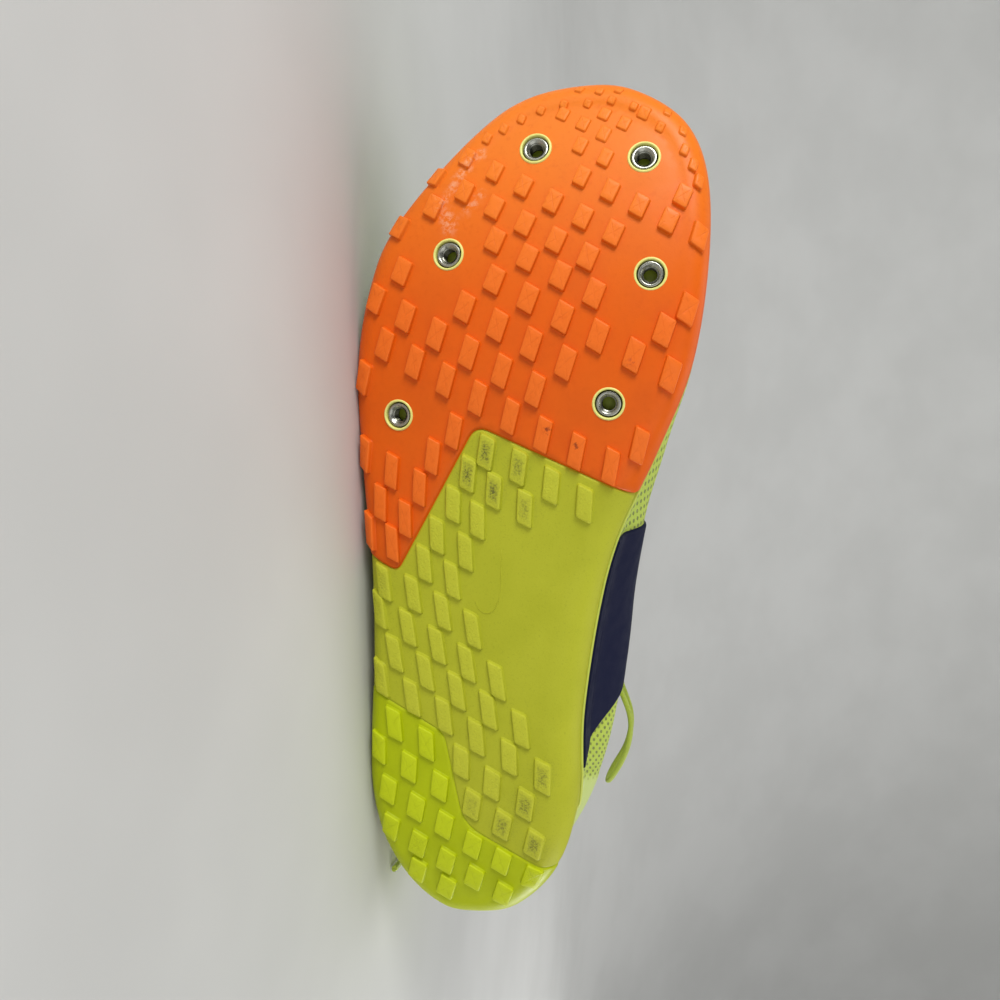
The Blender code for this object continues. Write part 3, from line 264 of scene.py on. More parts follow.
# Free lace from the knot outwards
LACE_LOOP_MEDIAL = [
    (109.5, 10.85, 93.3), (107.5, 16.5, 92.4), (102.0, 21.5, 90.5), (95.0, 25.0, 87.5), (85.0, 30.0, 80.5),
    (74.0, 36.0, 72.0), (60.0, 43.0, 69.5), (47.0, 42.5, 69.0), (36.0, 38.5, 69.0), (27.5, 34.5, 73.0),
    (34.0, 37.0, 79.0), (46.0, 41.8, 80.0), (57.0, 42.2, 81.0), (71.0, 35.5, 84.0), (84.0, 29.5, 90.0),
    (95.0, 25.5, 95.5), (103.0, 20.5, 98.5), (108.5, 15.5, 97.6), (110.5, 10.85, 96.7),
]
LACE_LOOP_LATERAL = [
    (110.0, -5.85, 93.4), (110.0, -12.0, 93.6), (106.0, -24.0, 96.0), (97.0, ON_FLOOR, 101.0),
    (80.0, ON_FLOOR, 104.0), (67.0, ON_FLOOR, 112.0), (76.0, ON_FLOOR, 119.0), (93.0, ON_FLOOR, 115.0),
    (106.0, -26.0, 107.0), (110.0, -12.0, 98.5), (110.0, -5.85, 96.7),
]
LACE_END_HEEL = [
    (107.3, -5.5, 95.0), (107.0, -10.5, 95.0), (104.0, -17.0, 94.5), (96.0, -27.0, 92.5),
    (82.0, ON_FLOOR, 89.0), (52.0, ON_FLOOR, 82.0), (24.0, ON_FLOOR, 70.0), (5.0, ON_FLOOR, 56.0),
    (1.5, ON_FLOOR, 44.0), (4.0, ON_FLOOR, 31.5), (6.2, ON_FLOOR, 21.8),
]
LACE_END_TOE = [
    (112.7, -5.5, 95.0), (114.0, -11.0, 94.8), (119.0, -22.0, 93.0), (125.0, -34.0, 90.0),
    (134.0, ON_FLOOR, 87.0), (150.0, ON_FLOOR, 83.0), (170.0, ON_FLOOR, 82.0), (190.0, ON_FLOOR, 86.0),
]

# Spike seats in plan, from the toe
SEATS = [(261.3, -0.6), (260.2, 32.2), (228.3, -22.9), (226.7, 38.7), (178.3, -34.7), (188.5, 31.0)]

# Small lugs that run over the rim of the toe, in plan
RIM_LUGS = [
    (275.4, 5.7), (275.8, 12.9), (277.0, 20.0), (275.4, 26.9), (280.1, 9.7), (279.7, 15.9), (280.2, 21.6),
    (269.4, 35.6), (274.0, 37.0), (268.6, 42.3), (262.9, 43.6), (258.6, 46.6), (253.8, 48.6), (273.3, -1.1),
    (270.4, -6.6), (267.2, -11.6), (263.9, -16.2),
]

# Worn places, in plan
FOAM_GRIME = [
    Mark(170.7, -5.4, 5.0, 1.0), Mark(162.3, -11.6, 5.0, 1.0), Mark(158.1, -1.6, 5.0, 1.0),
    Mark(167.0, 4.9, 5.0, 0.7), Mark(153.6, 8.9, 5.0, 0.55), Mark(124.6, -35.5, 6.0, 0.3),
    Mark(113.7, -36.8, 6.0, 0.2), Mark(66.8, 21.8, 6.0, 0.7), Mark(55.2, 16.6, 6.0, 0.9),
    Mark(46.0, 10.4, 6.0, 0.75), Mark(39.9, 21.8, 6.0, 0.9), Mark(51.1, -1.6, 5.0, 0.4),
]
POD_GRIME = [Mark(28.0, -3.0, 5.0, 0.35), Mark(29.5, 16.0, 5.0, 0.3), Mark(36.0, -17.0, 5.0, 0.25)]
PLATE_NICKS = [Mark(179.0, 13.6, 1.7, 0.75), Mark(175.3, 22.8, 1.6, 0.8), Mark(168.0, -15.0, 1.0, 0.6)]
PLATE_STAINS = [Mark(201.3, 36.4, 2.4, 0.5)]

# Scuffs on the forefoot rubber, and the hooked line of the mould
FILM_LINES = [
    [(259.7, -17.6), (256.9, -20.2), (251.9, -23.2), (247.3, -25.4), (243.5, -27.2)],
    [(246.8, -15.3), (243.6, -17.6), (240.9, -20.1)],
    [(240.0, -25.5), (238.3, -24.1), (236.0, -24.0)],
]
MOULD_LINE = [
    (139.7, 2.2), (133.3, 2.6), (126.0, 2.9), (121.6, 2.1), (118.8, 0.5), (118.3, -1.7), (119.0, -3.3),
    (120.4, -4.6), (121.9, -5.3),
]


def hermite(knots: Sequence[float], values: Sequence, at: Array) -> Array:
    """Smooth curve through values at rising knots, slopes from neighbours.

    Args:
        knots: rising places of the values.
        values: numbers or rows of numbers.
        at: places to read.

    Returns:
        The curve at those places.
    """
    knots = np.asarray(knots, float)
    values = np.asarray(values, float)
    slopes = np.gradient(values, knots, axis=0)
    spot = np.clip(np.searchsorted(knots, at, side="right") - 1, 0, len(knots) - 2)
    span = knots[spot + 1] - knots[spot]
    s = (at - knots[spot]) / span
    if values.ndim > 1:
        s = s[..., None]
        span = span[..., None]
    rise = s * s * (3 - 2 * s)
    lead = s * (1 - s) ** 2
    tail = s * s * (s - 1)
    here = values[spot] * (1 - rise) + values[spot + 1] * rise
    return here + span * (lead * slopes[spot] + tail * slopes[spot + 1])


def around(knots: Sequence[float], values: Sequence, period: float, at: Array) -> Array:
    """The same curve for values that repeat after one period.

    Args:
        knots: rising places of the values in one period.
        values: numbers or rows of numbers.
        period: length of the period.
        at: places to read.

    Returns:
        The curve at those places.
    """
    knots = np.asarray(knots, float)
    values = np.asarray(values, float)
    knots = np.concatenate([knots - period, knots, knots + period])
    return hermite(knots, np.concatenate([values, values, values]), np.asarray(at, float))


def ease(value: Array, low: float, high: float) -> Array:
    """Soft step from 0 at low to 1 at high."""
    s = np.clip((np.asarray(value, float) - low) / (high - low), 0.0, 1.0)
    return s * s * (3 - 2 * s)


def unit(vectors: Array) -> Array:
    """Vectors of length one."""
    vectors = np.asarray(vectors, float)
    return vectors / np.maximum(np.linalg.norm(vectors, axis=-1, keepdims=True), 1e-12)


def run_along(line: Array) -> Array:
    """Distance of each point of a chain from its start, along the chain."""
    return np.concatenate([[0.0], np.cumsum(np.linalg.norm(np.diff(line, axis=0), axis=1))])


def closed(line: Array) -> Array:
    """The chain with its first point once more at the end."""
    return np.concatenate([line, line[:1]])


def points_at(line: Array, at: Array) -> Array:
    """Points of a chain at distances from its start."""
    run = run_along(line)
    return np.stack([np.interp(at, run, line[:, k]) for k in range(line.shape[1])], axis=1)


def smoothed(line: Array, count: int) -> Array:
    """Smooth curve through a chain, as a number of points at even steps."""
    run = run_along(line)
    return hermite(run, line, np.linspace(0.0, run[-1], count))


def quads(height: int, width: int, wrap: bool, close: bool = False) -> list[tuple[int, ...]]:
    """Corner numbers of the quads of a grid, row by row.

    Args:
        height: rows of points.
        width: points in a row.
        wrap: joins the last column to the first.
        close: joins the last row to the first.

    Returns:
        Four numbers for each quad.
    """
    found = []
    for r in range(height if close else height - 1):
        n = (r + 1) % height
        for c in range(width if wrap else width - 1):
            d = (c + 1) % width
            found.append((r * width + c, r * width + d, n * width + d, n * width + c))
    return found


def ray_net(rows: Array, wrap: bool) -> BVHTree:
    """Search tree over a grid of points, for rays."""
    return BVHTree.FromPolygons([Vector(p) for p in rows.reshape(-1, 3)], quads(*rows.shape[:2], wrap))


def within(outline: Array, spots: Array) -> Array:
    """Whether plan points lie in a closed outline.

    Args:
        outline: corners in order.
        spots: points to test.

    Returns:
        One truth value for each point.
    """
    hit = np.zeros(len(spots), bool)
    x, y = spots[:, 0], spots[:, 1]
    for (x0, y0), (x1, y1) in zip(np.roll(outline, 1, axis=0), outline):
        if y0 == y1:
            continue
        crosses = (y0 > y) != (y1 > y)
        hit ^= crosses & (x < x0 + (y - y0) * (x1 - x0) / (y1 - y0))
    return hit


def line_distance(line: Array, spots: Array) -> Array:
    """Distance of plan points from a chain of straight pieces.

    Args:
        line: points of the chain in order.
        spots: points to measure.

    Returns:
        One distance for each point.
    """
    best = np.full(len(spots), 1e9)
    for a, b in zip(line[:-1], line[1:]):
        leg = b - a
        s = np.clip(((spots - a) @ leg) / max(leg @ leg, 1e-12), 0.0, 1.0)
        best = np.minimum(best, np.linalg.norm(spots - a - s[:, None] * leg, axis=1))
    return best


def stepped(line: Array, step: float) -> Array:
    """Chain of points at even steps along a chain.

    Args:
        line: points of the chain.
        step: distance between the new points.

    Returns:
        The new points, both ends kept.
    """
    length = run_along(line)[-1]
    return points_at(line, np.linspace(0.0, length, max(2, int(math.ceil(length / step)) + 1)))


def rounded(corners: Sequence[Corner], grow: float = 0.0) -> Array:
    """Closed outline with rounded corners, grown outwards by a distance.

    Args:
        corners: corners in order.
        grow: distance, negative to shrink.

    Returns:
        Plan points of the outline.
    """
    points = []
    count = len(corners)
    for k, corner in enumerate(corners):
        here = np.array(corner[:2])
        if corner.r == 0.0:
            points.append(here)
            continue
        back = unit(np.array(corners[k - 1][:2]) - here)
        ahead = unit(np.array(corners[(k + 1) % count][:2]) - here)
        reach = corner.r / math.tan(math.acos(float(np.clip(back @ ahead, -1, 1))) / 2)
        for s in np.linspace(0.0, 1.0, 9):
            bend = (1 - s) ** 2 * (here + back * reach) + s**2 * (here + ahead * reach)
            points.append(bend + 2 * s * (1 - s) * here)
    points = np.array(points)
    if grow:
        ahead = unit(np.roll(points, -1, axis=0) - points)
        left = np.stack([ahead[:, 1], -ahead[:, 0]], axis=1)
        turn = unit(left + np.roll(left, 1, axis=0))
        after = np.roll(points, -1, axis=0)
        area = np.sum(points[:, 0] * after[:, 1] - after[:, 0] * points[:, 1])
        grow = grow if area > 0 else -grow
        points = points + turn * (grow / np.sum(turn * left, axis=1))[:, None]
    return points


@dataclass
class Last:
    """Form of the shoe: its tables read as smooth surfaces, and the place where it lies."""

    roll_deg: float = 3.75
    pitch_deg: float = 5.2
    shift: Point = (0.142157, -0.048485, 0.0334)
    toe_row: float = 15.0
    lug_base: float = 1.6
    toe_start: float = 185.0
    toe_radius: float = 205.0
    heel_start: float = 47.0
    heel_lift: float = 4.0
    heel_run: float = 34.0
    crown: float = 3.5
    crown_half: float = 52.0
    crown_start: float = 123.0
    crown_run: float = 60.0
    arch_lift: float = 4.0
    arch_y: float = 2.0
    arch_run: float = 28.0
    waist_x: float = 112.0
    waist_half: float = 52.0
    feather_in: float = 0.7
    gap: float = 0.3
    wall: float = 1.8
    lap_low: float = 0.1
    lap_out: float = 0.45
    lap_back: tuple[float, float] = (42.0, 70.0)
    lap_front: tuple[float, float] = (170.0, 200.0)
    eyelet_t: float = 0.88
    eyelet_x: tuple[float, ...] = (110.0, 124.0, 138.0, 152.0, 166.0, 179.0)
    turn: Array = field(init=False)

    def __post_init__(self) -> None:
        """Works out the turn that lays the shoe down."""
        a, b = math.radians(self.roll_deg), math.radians(self.pitch_deg)
        roll = np.array(((1, 0, 0), (0, math.cos(a), -math.sin(a)), (0, math.sin(a), math.cos(a))))
        pitch = np.array(((math.cos(b), 0, math.sin(b)), (0, 1, 0), (-math.sin(b), 0, math.cos(b))))
        self.turn = roll @ pitch @ np.array(((-1, 0, 0), (0, 0, 1), (0, 1, 0)))

    def world(self, points: Array) -> Array:
        """Points of the shoe frame in the scene, in metres."""
        return (np.asarray(points, float) * MM) @ self.turn.T + np.array(self.shift)

    def way(self, vectors: Array) -> Array:
        """Directions of the shoe frame in the scene."""
        return np.asarray(vectors, float) @ self.turn.T

    def spots(self, half: int) -> Array:
        """Sole rows, as decimals, of points evenly spaced on each half of the sole edge.

        Args:
            half: number of steps from heel to toe.

        Returns:
            Two times half row numbers.
        """
        rows = len(SOLE)
        fine = np.linspace(0.0, rows, 30 * rows + 1)
        xy = around(np.arange(rows), [(r.x, r.y) for r in SOLE], rows, fine)
        run = run_along(xy)
        toe = np.interp(self.toe_row, fine, run)
        out = np.linspace(0, toe, half + 1)[:-1]
        home = np.linspace(toe, run[-1], half + 1)[:-1]
        return np.interp(np.concatenate([out, home]), run, fine)

    def sole(self, spots: Array) -> Array:
        """Columns of the sole table at decimal rows."""
        return around(np.arange(len(SOLE)), [tuple(r) for r in SOLE], len(SOLE), spots)

    def inward(self, spots: Array) -> Array:
        """Unit vectors that point inwards from the sole edge, in plan.

        Args:
            spots: decimal sole rows.

        Returns:
            One vector for each spot.
        """
        rows = np.arange(len(SOLE))
        xy = [(r.x, r.y) for r in SOLE]
        ahead = around(rows, xy, len(SOLE), np.asarray(spots) + 0.02)
        along = unit(ahead - around(rows, xy, len(SOLE), np.asarray(spots) - 0.02))
        return np.stack([along[:, 1], -along[:, 0]], axis=1)

    def base_z(self, x: Array, y: Array) -> Array:
        """Height of the sole between the lugs: heel rise, arch, toe spring and crown.

        Args:
            x: places along the shoe.
            y: places across the shoe.

        Returns:
            Heights above the ground.
        """
        toe = np.clip(np.asarray(x, float) - self.toe_start, 0.0, 0.98 * self.toe_radius)
        spring = self.toe_radius - np.sqrt(self.toe_radius**2 - toe**2)
        heel = self.heel_lift * (np.clip(self.heel_start - x, 0.0, None) / self.heel_run) ** 2
        across = np.clip(np.abs(y) / self.crown_half, 0.0, 1.15) ** 3
        crown = np.clip((x - self.crown_start) / self.crown_run, 0.0, 1.0) * across
        waist = np.clip(1.0 - ((x - self.waist_x) / self.waist_half) ** 2, 0.0, 1.0)
        arch = waist * np.clip((y - self.arch_y) / self.arch_run, 0.0, 1.0) ** 2
        return self.lug_base + spring + heel + self.crown * crown + self.arch_lift * arch

    def bite(self, spots: Array, step_in: float) -> Array:
        """Points of the line where the upper starts, moved inwards by a step.

        Args:
            spots: decimal sole rows.
            step_in: distance inwards.

        Returns:
            One point for each spot.
        """
        sole = self.sole(spots)
        turn = self.inward(spots)
        tread = sole[:, :2] + sole[:, 2:3] * turn
        xy = sole[:, :2] + (sole[:, 4:5] + step_in) * turn
        return np.column_stack([xy, self.base_z(tread[:, 0], tread[:, 1]) + sole[:, 5]])

    def side_wall(self, spots: Array, share: Array, out: float) -> Array:
        """Points of the midsole's side wall.

        Args:
            spots: decimal sole rows.
            share: 0 at the widest line to 1 at the upper.
            out: distance outwards.

        Returns:
            One point for each spot.
        """
        sole = self.sole(spots)
        turn = self.inward(spots)
        tread = sole[:, :2] + sole[:, 2:3] * turn
        low = self.base_z(tread[:, 0], tread[:, 1]) + sole[:, 3]
        xy = sole[:, :2] + (sole[:, 4] * share - out)[:, None] * turn
        return np.column_stack([xy, low + (sole[:, 5] - sole[:, 3]) * share])

    def lap(self, spots: Array) -> Array:
        """How far the upper laps over the side wall: fully along the arch, not at all elsewhere.

        Args:
            spots: decimal sole rows.

        Returns:
            Shares from 0 to 1.
        """
        x = self.sole(spots)[:, 0]
        medial = np.asarray(spots) % len(SOLE) < self.toe_row
        return medial * ease(x, *self.lap_back) * (1 - ease(x, *self.lap_front))

    def lapped(self, spots: Array, share: float) -> Array:
        """Points of the upper's lap.

        Args:
            spots: decimal sole rows.
            share: 0 at its lower edge to 1 at the foot of the upper.

        Returns:
            One point for each spot, on the foot of the upper where there is no lap.
        """
        lap = self.lap(spots)
        foot = self.upper(spots, 0.0)
        wall = self.side_wall(spots, 1 - lap * (1 - self.lap_low) * (1 - share), self.lap_out)
        return foot + np.clip(6 * lap, 0, 1)[:, None] * (wall - foot)

    def upper(self, spots: Array, t: Array) -> Array:
        """Outer face of the upper.

        Args:
            spots: decimal sole rows.
            t: 0 at the sole to 1 at the topline.

        Returns:
            One point for each pair.
        """
        spots = np.asarray(spots, float)
        t = np.broadcast_to(np.asarray(t, float), spots.shape)
        cols = around([r.at for r in UPPER], [tuple(r)[1:] for r in UPPER], len(SOLE), spots)
        turn = self.inward(spots)
        foot = self.bite(spots, self.feather_in)
        bite_z = foot[:, 2].copy()
        foot[:, 2] += self.gap
        wide_xy = foot[:, :2] - cols[:, 0:1] * turn
        wide = np.column_stack([wide_xy, bite_z + cols[:, 1]])
        top = cols[:, 4:7]
        shoulder_xy = wide_xy + cols[:, 2:3] * (top[:, :2] - wide_xy)
        points = np.stack([foot, wide, np.column_stack([shoulder_xy, bite_z + cols[:, 3]]), top], axis=1)
        legs = np.linalg.norm(np.diff(points, axis=1), axis=2)
        knots = np.concatenate([np.zeros((len(legs), 1)), np.cumsum(legs, axis=1)], axis=1)
        knots /= knots[:, -1:]
        h = np.diff(knots, axis=1)
        d = np.diff(points, axis=1) / h[..., None]
        inner = (h[:, 1:, None] * d[:, :-1] + h[:, :-1, None] * d[:, 1:]) / (h[:, 1:] + h[:, :-1])[..., None]
        slopes = np.concatenate([d[:, :1], inner, d[:, -1:]], axis=1)
        leg = np.clip(np.sum(t[:, None] >= knots[:, :3], axis=1) - 1, 0, 2)
        n = np.arange(len(spots))
        span = h[n, leg]
        s = ((t - knots[n, leg]) / span)[:, None]
        rise = s * s * (3 - 2 * s)
        bend = s * (1 - s) ** 2 * slopes[n, leg] + s * s * (s - 1) * slopes[n, leg + 1]
        return points[n, leg] * (1 - rise) + points[n, leg + 1] * rise + span[:, None] * bend

    def upper_normal(self, spots: Array, t: Array) -> Array:
        """Outward unit normals of the upper at the same places.

        Args:
            spots: decimal sole rows.
            t: 0 at the sole to 1 at the topline.

        Returns:
            One normal for each pair.
        """
        spots = np.asarray(spots, float)
        t = np.broadcast_to(np.asarray(t, float), spots.shape)
        along = self.upper(spots + 1e-3, t) - self.upper(spots - 1e-3, t)
        up = self.upper(spots, np.minimum(t + 1e-3, 1.0)) - self.upper(spots, np.maximum(t - 1e-3, 0.0))
        return -unit(np.cross(along, up))

    def eyelets(self) -> list[tuple[float, float]]:
        """Decimal sole rows of each eyelet pair, medial then lateral.

        Returns:
            One pair for each place, from the collar to the toe.
        """
        medial = np.linspace(5.0, self.toe_row, 400)
        lateral = np.linspace(self.toe_row, 25.5, 400)
        med_x = self.upper(medial, self.eyelet_t)[:, 0]
        lat_x = self.upper(lateral, self.eyelet_t)[:, 0]
        pairs = []
        for x in self.eyelet_x:
            pairs.append((float(np.interp(x, med_x, medial)), float(np.interp(-x, -lat_x, lateral))))
        return pairs


class Shape:
    """Points, faces, corner coordinates and painted values in the shoe frame, which become a mesh."""

    def __init__(self) -> None:
        """Starts empty."""
        self.points: list[Array] = []
        self.count = 0
        self.faces: list[tuple[int, ...]] = []
        self.corners: list[tuple[tuple[float, float], ...]] = []
        self.slots: list[int] = []
        self.values: dict[str, list[Array]] = {}

    def add(self, points: Array, values: Values | None = None) -> int:
        """Adds points.

        Args:
            points: rows of x, y, z.
            values: painted numbers by name, one for each point.

        Returns:
            Number of the first new point.
        """
        start = self.count
        points = np.asarray(points, float).reshape(-1, 3)
        self.points.append(points)
        names = set(self.values) | set(values or {})
        for name in names:
            known = self.values.setdefault(name, [np.zeros(start)] if start else [])
            fresh = (values or {}).get(name)
            known.append(np.zeros(len(points)) if fresh is None else np.asarray(fresh, float).ravel())
        self.count += len(points)
        return start

    def face(self, ids: Sequence[int], corners: Sequence = (), slot: int = 0) -> None:
        """Adds one face, with its corner coordinates and material slot.

        Args:
            ids: numbers of its points, in order.
            corners: corner coordinates, if any.
            slot: material slot.
        """
        self.faces.append(tuple(int(i) for i in ids))
        self.corners.append(tuple(corners) if len(corners) else tuple((0.0, 0.0) for _ in ids))
        self.slots.append(slot)

    def grid(self, rows: Array, wrap: bool = False, close: bool = False, uv: Array | None = None,
             slots: Sequence[int] | None = None, values: Values | None = None) -> int:
        """Adds quads over a grid of points.

        Args:
            rows: array of row, column, xyz.
            wrap: joins the last column to the first.
            close: joins the last row to the first.
            uv: corner coordinates, with one column more than rows where it wraps.
            slots: material slot of each row of quads.
            values: painted numbers on the same grid.

        Returns:
            Number of the first new point.
        """
        height, width = rows.shape[:2]
        start = self.add(rows.reshape(-1, 3), values)
        for ids in quads(height, width, wrap, close):
            r, c = divmod(ids[0], width)
            n = (r + 1) % height
            corners = () if uv is None else (uv[r, c], uv[r, c + 1], uv[n, c + 1], uv[n, c])
            self.face([start + i for i in ids], corners, slots[r] if slots is not None else 0)
        return start

    def patch(self, points: Array, faces: Array, values: Values | None = None) -> int:
        """Adds points with ready faces.

        Args:
            points: rows of x, y, z.
            faces: numbers of the points of each face.
            values: painted numbers by name, one for each point.

        Returns:
            Number of the first new point.
        """
        start = self.add(points, values)
        for ids in faces:
            self.face([start + i for i in ids])
        return start

    def made(self, name: str, last: Last, paints: Sequence[Paint], sharp: float) -> Thing:
        """Makes the object, laid on the floor, with doubles merged and faces turned outwards.

        Args:
            name: name of the piece.
            last: where the shoe lies.
            paints: materials in slot order.
            sharp: edges that bend more than this many degrees stay sharp.

        Returns:
            The linked object.
        """
        mesh = bpy.data.meshes.new(name)
        spots = last.world(np.concatenate(self.points))
        spots[:, 2] = np.maximum(spots[:, 2], 0.0)
        mesh.from_pydata([Vector(p) for p in spots], [], self.faces)
        layer = mesh.uv_layers.new(name="weave")
        flat = np.array([c for ring in self.corners for c in ring], np.float32)
        layer.data.foreach_set("uv", flat.ravel())
        mesh.polygons.foreach_set("material_index", np.array(self.slots, np.int32))
        for key, parts in self.values.items():
            painted = mesh.attributes.new(key, "FLOAT", "POINT")
            painted.data.foreach_set("value", np.concatenate(parts).astype(np.float32))
        for paint in paints:
            mesh.materials.append(paint)
        return linked(name, tidied(mesh, sharp))


def tidied(mesh: Mesh, sharp: float) -> Mesh:
    """Merges doubles, drops flat scraps, turns faces outwards and sets smooth shading.

    Args:
        mesh: mesh to change.
        sharp: edges that bend more than this many degrees stay sharp.

    Returns:
        The same mesh.
    """
    bm = bmesh.new()
    bm.from_mesh(mesh)
    bmesh.ops.remove_doubles(bm, verts=bm.verts, dist=MERGE)
    bmesh.ops.dissolve_degenerate(bm, edges=bm.edges, dist=SCRAP)
    bmesh.ops.recalc_face_normals(bm, faces=bm.faces)
    bm.to_mesh(mesh)
    bm.free()
    mesh.polygons.foreach_set("use_smooth", np.ones(len(mesh.polygons), bool))
    mesh.set_sharp_from_angle(angle=math.radians(sharp))
    mesh.update()
    return mesh


def linked(name: str, mesh: Mesh) -> Thing:
    """Object at the origin, in the scene.

    Args:
        name: name of the object.
        mesh: its mesh.

    Returns:
        The linked object.
    """
    thing = bpy.data.objects.new(name, mesh)
    bpy.context.scene.collection.objects.link(thing)
    return thing


def baked(thing: Thing) -> Thing:
    """Turns what the modifiers make into the object's own plain mesh.

    Args:
        thing: object with modifiers.

    Returns:
        The same object.
    """
    view = bpy.context.evaluated_depsgraph_get()
    shown = thing.evaluated_get(view)
    mesh = bpy.data.meshes.new_from_object(shown, preserve_all_data_layers=True, depsgraph=view)
    thing.modifiers.clear()
    old = thing.data
    thing.data = mesh
    bpy.data.meshes.remove(old)
    mesh.name = thing.name
    return thing


def settled(piece: Thing, slot: Slot, *nodes: str) -> Thing:
    """Lets a piece ride on the shoe and hides the nodes it stands for.

    Args:
        piece: finished piece.
        slot: material slot of the record; not used.
        nodes: nodes of the frame that it stands for.

    Returns:
        The piece.
    """
    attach(piece, BODY)
    if nodes:
        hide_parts(*nodes)
    LOG.info("piece %s: %d faces, stands for %s", piece.name, len(piece.data.polygons),
             ", ".join(nodes) or "none")
    return piece


class Shade:
    """Node material round one principled shader."""

    def __init__(self, name: str) -> None:
        """Makes the material.

        Args:
            name: name of the material.
        """
        self.material = bpy.data.materials.new(name)
        self.material.use_nodes = True
        self.tree = self.material.node_tree
        self.shader = self.tree.nodes["Principled BSDF"]

    def node(self, kind: str, inputs: dict | None = None, **traits: object) -> bpy.types.Node:
        """Adds a node.

        Args:
            kind: type of the node.
            inputs: values or sockets by input name or number.
            traits: settings of the node.

        Returns:
            The node.
        """
        node = self.tree.nodes.new(kind)
        for key, value in traits.items():
            setattr(node, key, value)
        for key, value in (inputs or {}).items():
            self.give(node.inputs[key], value)
        return node

    def give(self, socket: Socket, value: object) -> None:
        """Links or sets one input.

        Args:
            socket: input to feed.
            value: socket to link, or value to set.
        """
        if isinstance(value, Socket):
            self.tree.links.new(value, socket)
        elif isinstance(value, tuple) and socket.type == "RGBA" and len(value) == 3:
            socket.default_value = (*value, 1.0)
        else:
            socket.default_value = value

    def set(self, **values: object) -> None:
        """Links or sets inputs of the shader, spaces in their names written as underscores."""
        for key, value in values.items():
            self.give(self.shader.inputs[key.replace("_", " ")], value)

    def place(self) -> Socket:
        """Object coordinates in millimetres.

        Returns:
            Vector socket.
        """
        spot = self.node("ShaderNodeTexCoord").outputs["Object"]
        found = {0: spot, 1: (1.0 / MM,) * 3}
        return self.node("ShaderNodeVectorMath", found, operation="MULTIPLY").outputs[0]

    def weave(self) -> tuple[Socket, Socket]:
        """The two coordinates of the piece's own map, in millimetres.

        Returns:
            Both sockets.
        """
        spot = self.node("ShaderNodeUVMap", uv_map="weave").outputs[0]
        parts = self.node("ShaderNodeSeparateXYZ", {0: spot})
        return parts.outputs[0], parts.outputs[1]

    def noise(self, size: float, detail: float = 3.0, rough: float = 0.55) -> Socket:
        """Soft noise with spots of about a size in millimetres."""
        found = {"Vector": self.place(), "Scale": 1.0 / size, "Detail": detail, "Roughness": rough}
        return self.node("ShaderNodeTexNoise", found).outputs[0]

    def painted(self, name: str) -> Socket:
        """Numbers painted on the mesh."""
        return self.node("ShaderNodeAttribute", attribute_name=name, attribute_type="GEOMETRY").outputs["Fac"]

    def step(self, value: object, low: float, high: float, start: float = 0.0, end: float = 1.0) -> Socket:
        """Soft step of a value from start to end."""
        found = {0: value, 1: low, 2: high, 3: start, 4: end}
        return self.node("ShaderNodeMapRange", found, interpolation_type="SMOOTHSTEP").outputs[0]

    def sum(self, operation: str, a: object, b: object = 0.5) -> Socket:
        """One step of arithmetic."""
        return self.node("ShaderNodeMath", {0: a, 1: b}, operation=operation).outputs[0]

    def blend(self, share: object, a: object, b: object) -> Socket:
        """Mix of two colours.

        Args:
            share: socket or number from 0 to 1.
            a: colour at 0.
            b: colour at 1.

        Returns:
            Colour socket.
        """
        node = self.node("ShaderNodeMix", data_type="RGBA")
        self.give(node.inputs[0], share)
        self.give(node.inputs[6], a)
        self.give(node.inputs[7], b)
        return node.outputs[2]

    def bump(self, height: object, deep: float, under: Socket | None = None) -> Socket:
        """Relief of a depth in millimetres, over another relief.

        Args:
            height: socket of the relief.
            deep: its depth.
            under: relief below it.

        Returns:
            Normal socket.
        """
        found = {"Height": height, "Distance": deep * MM, "Strength": 1.0}
        if under is not None:
            found["Normal"] = under
        return self.node("ShaderNodeBump", found).outputs[0]

    def spots(self, marks: Sequence[Mark], height: float, last: Last) -> Socket:
        """Mask of small ragged spots.

        Args:
            marks: places, sizes and weights in plan.
            height: height above the ground at which they lie.
            last: where the shoe lies.

        Returns:
            Socket from 0 to 1.
        """
        rough = self.sum("MULTIPLY", self.noise(1.3, 4.0, 0.75), 2.6)
        total = None
        for mark in marks:
            spot = last.world(np.array([mark.x, mark.y, height])) / MM
            away = self.node("ShaderNodeVectorMath", {0: self.place(), 1: tuple(spot)}, operation="DISTANCE")
            near = self.sum("DIVIDE", away.outputs["Value"], mark.radius)
            mask = self.step(self.sum("ADD", near, rough), 2.0, 1.6, 0.0, mark.weight)
            total = mask if total is None else self.sum("MAXIMUM", total, mask)
        return total


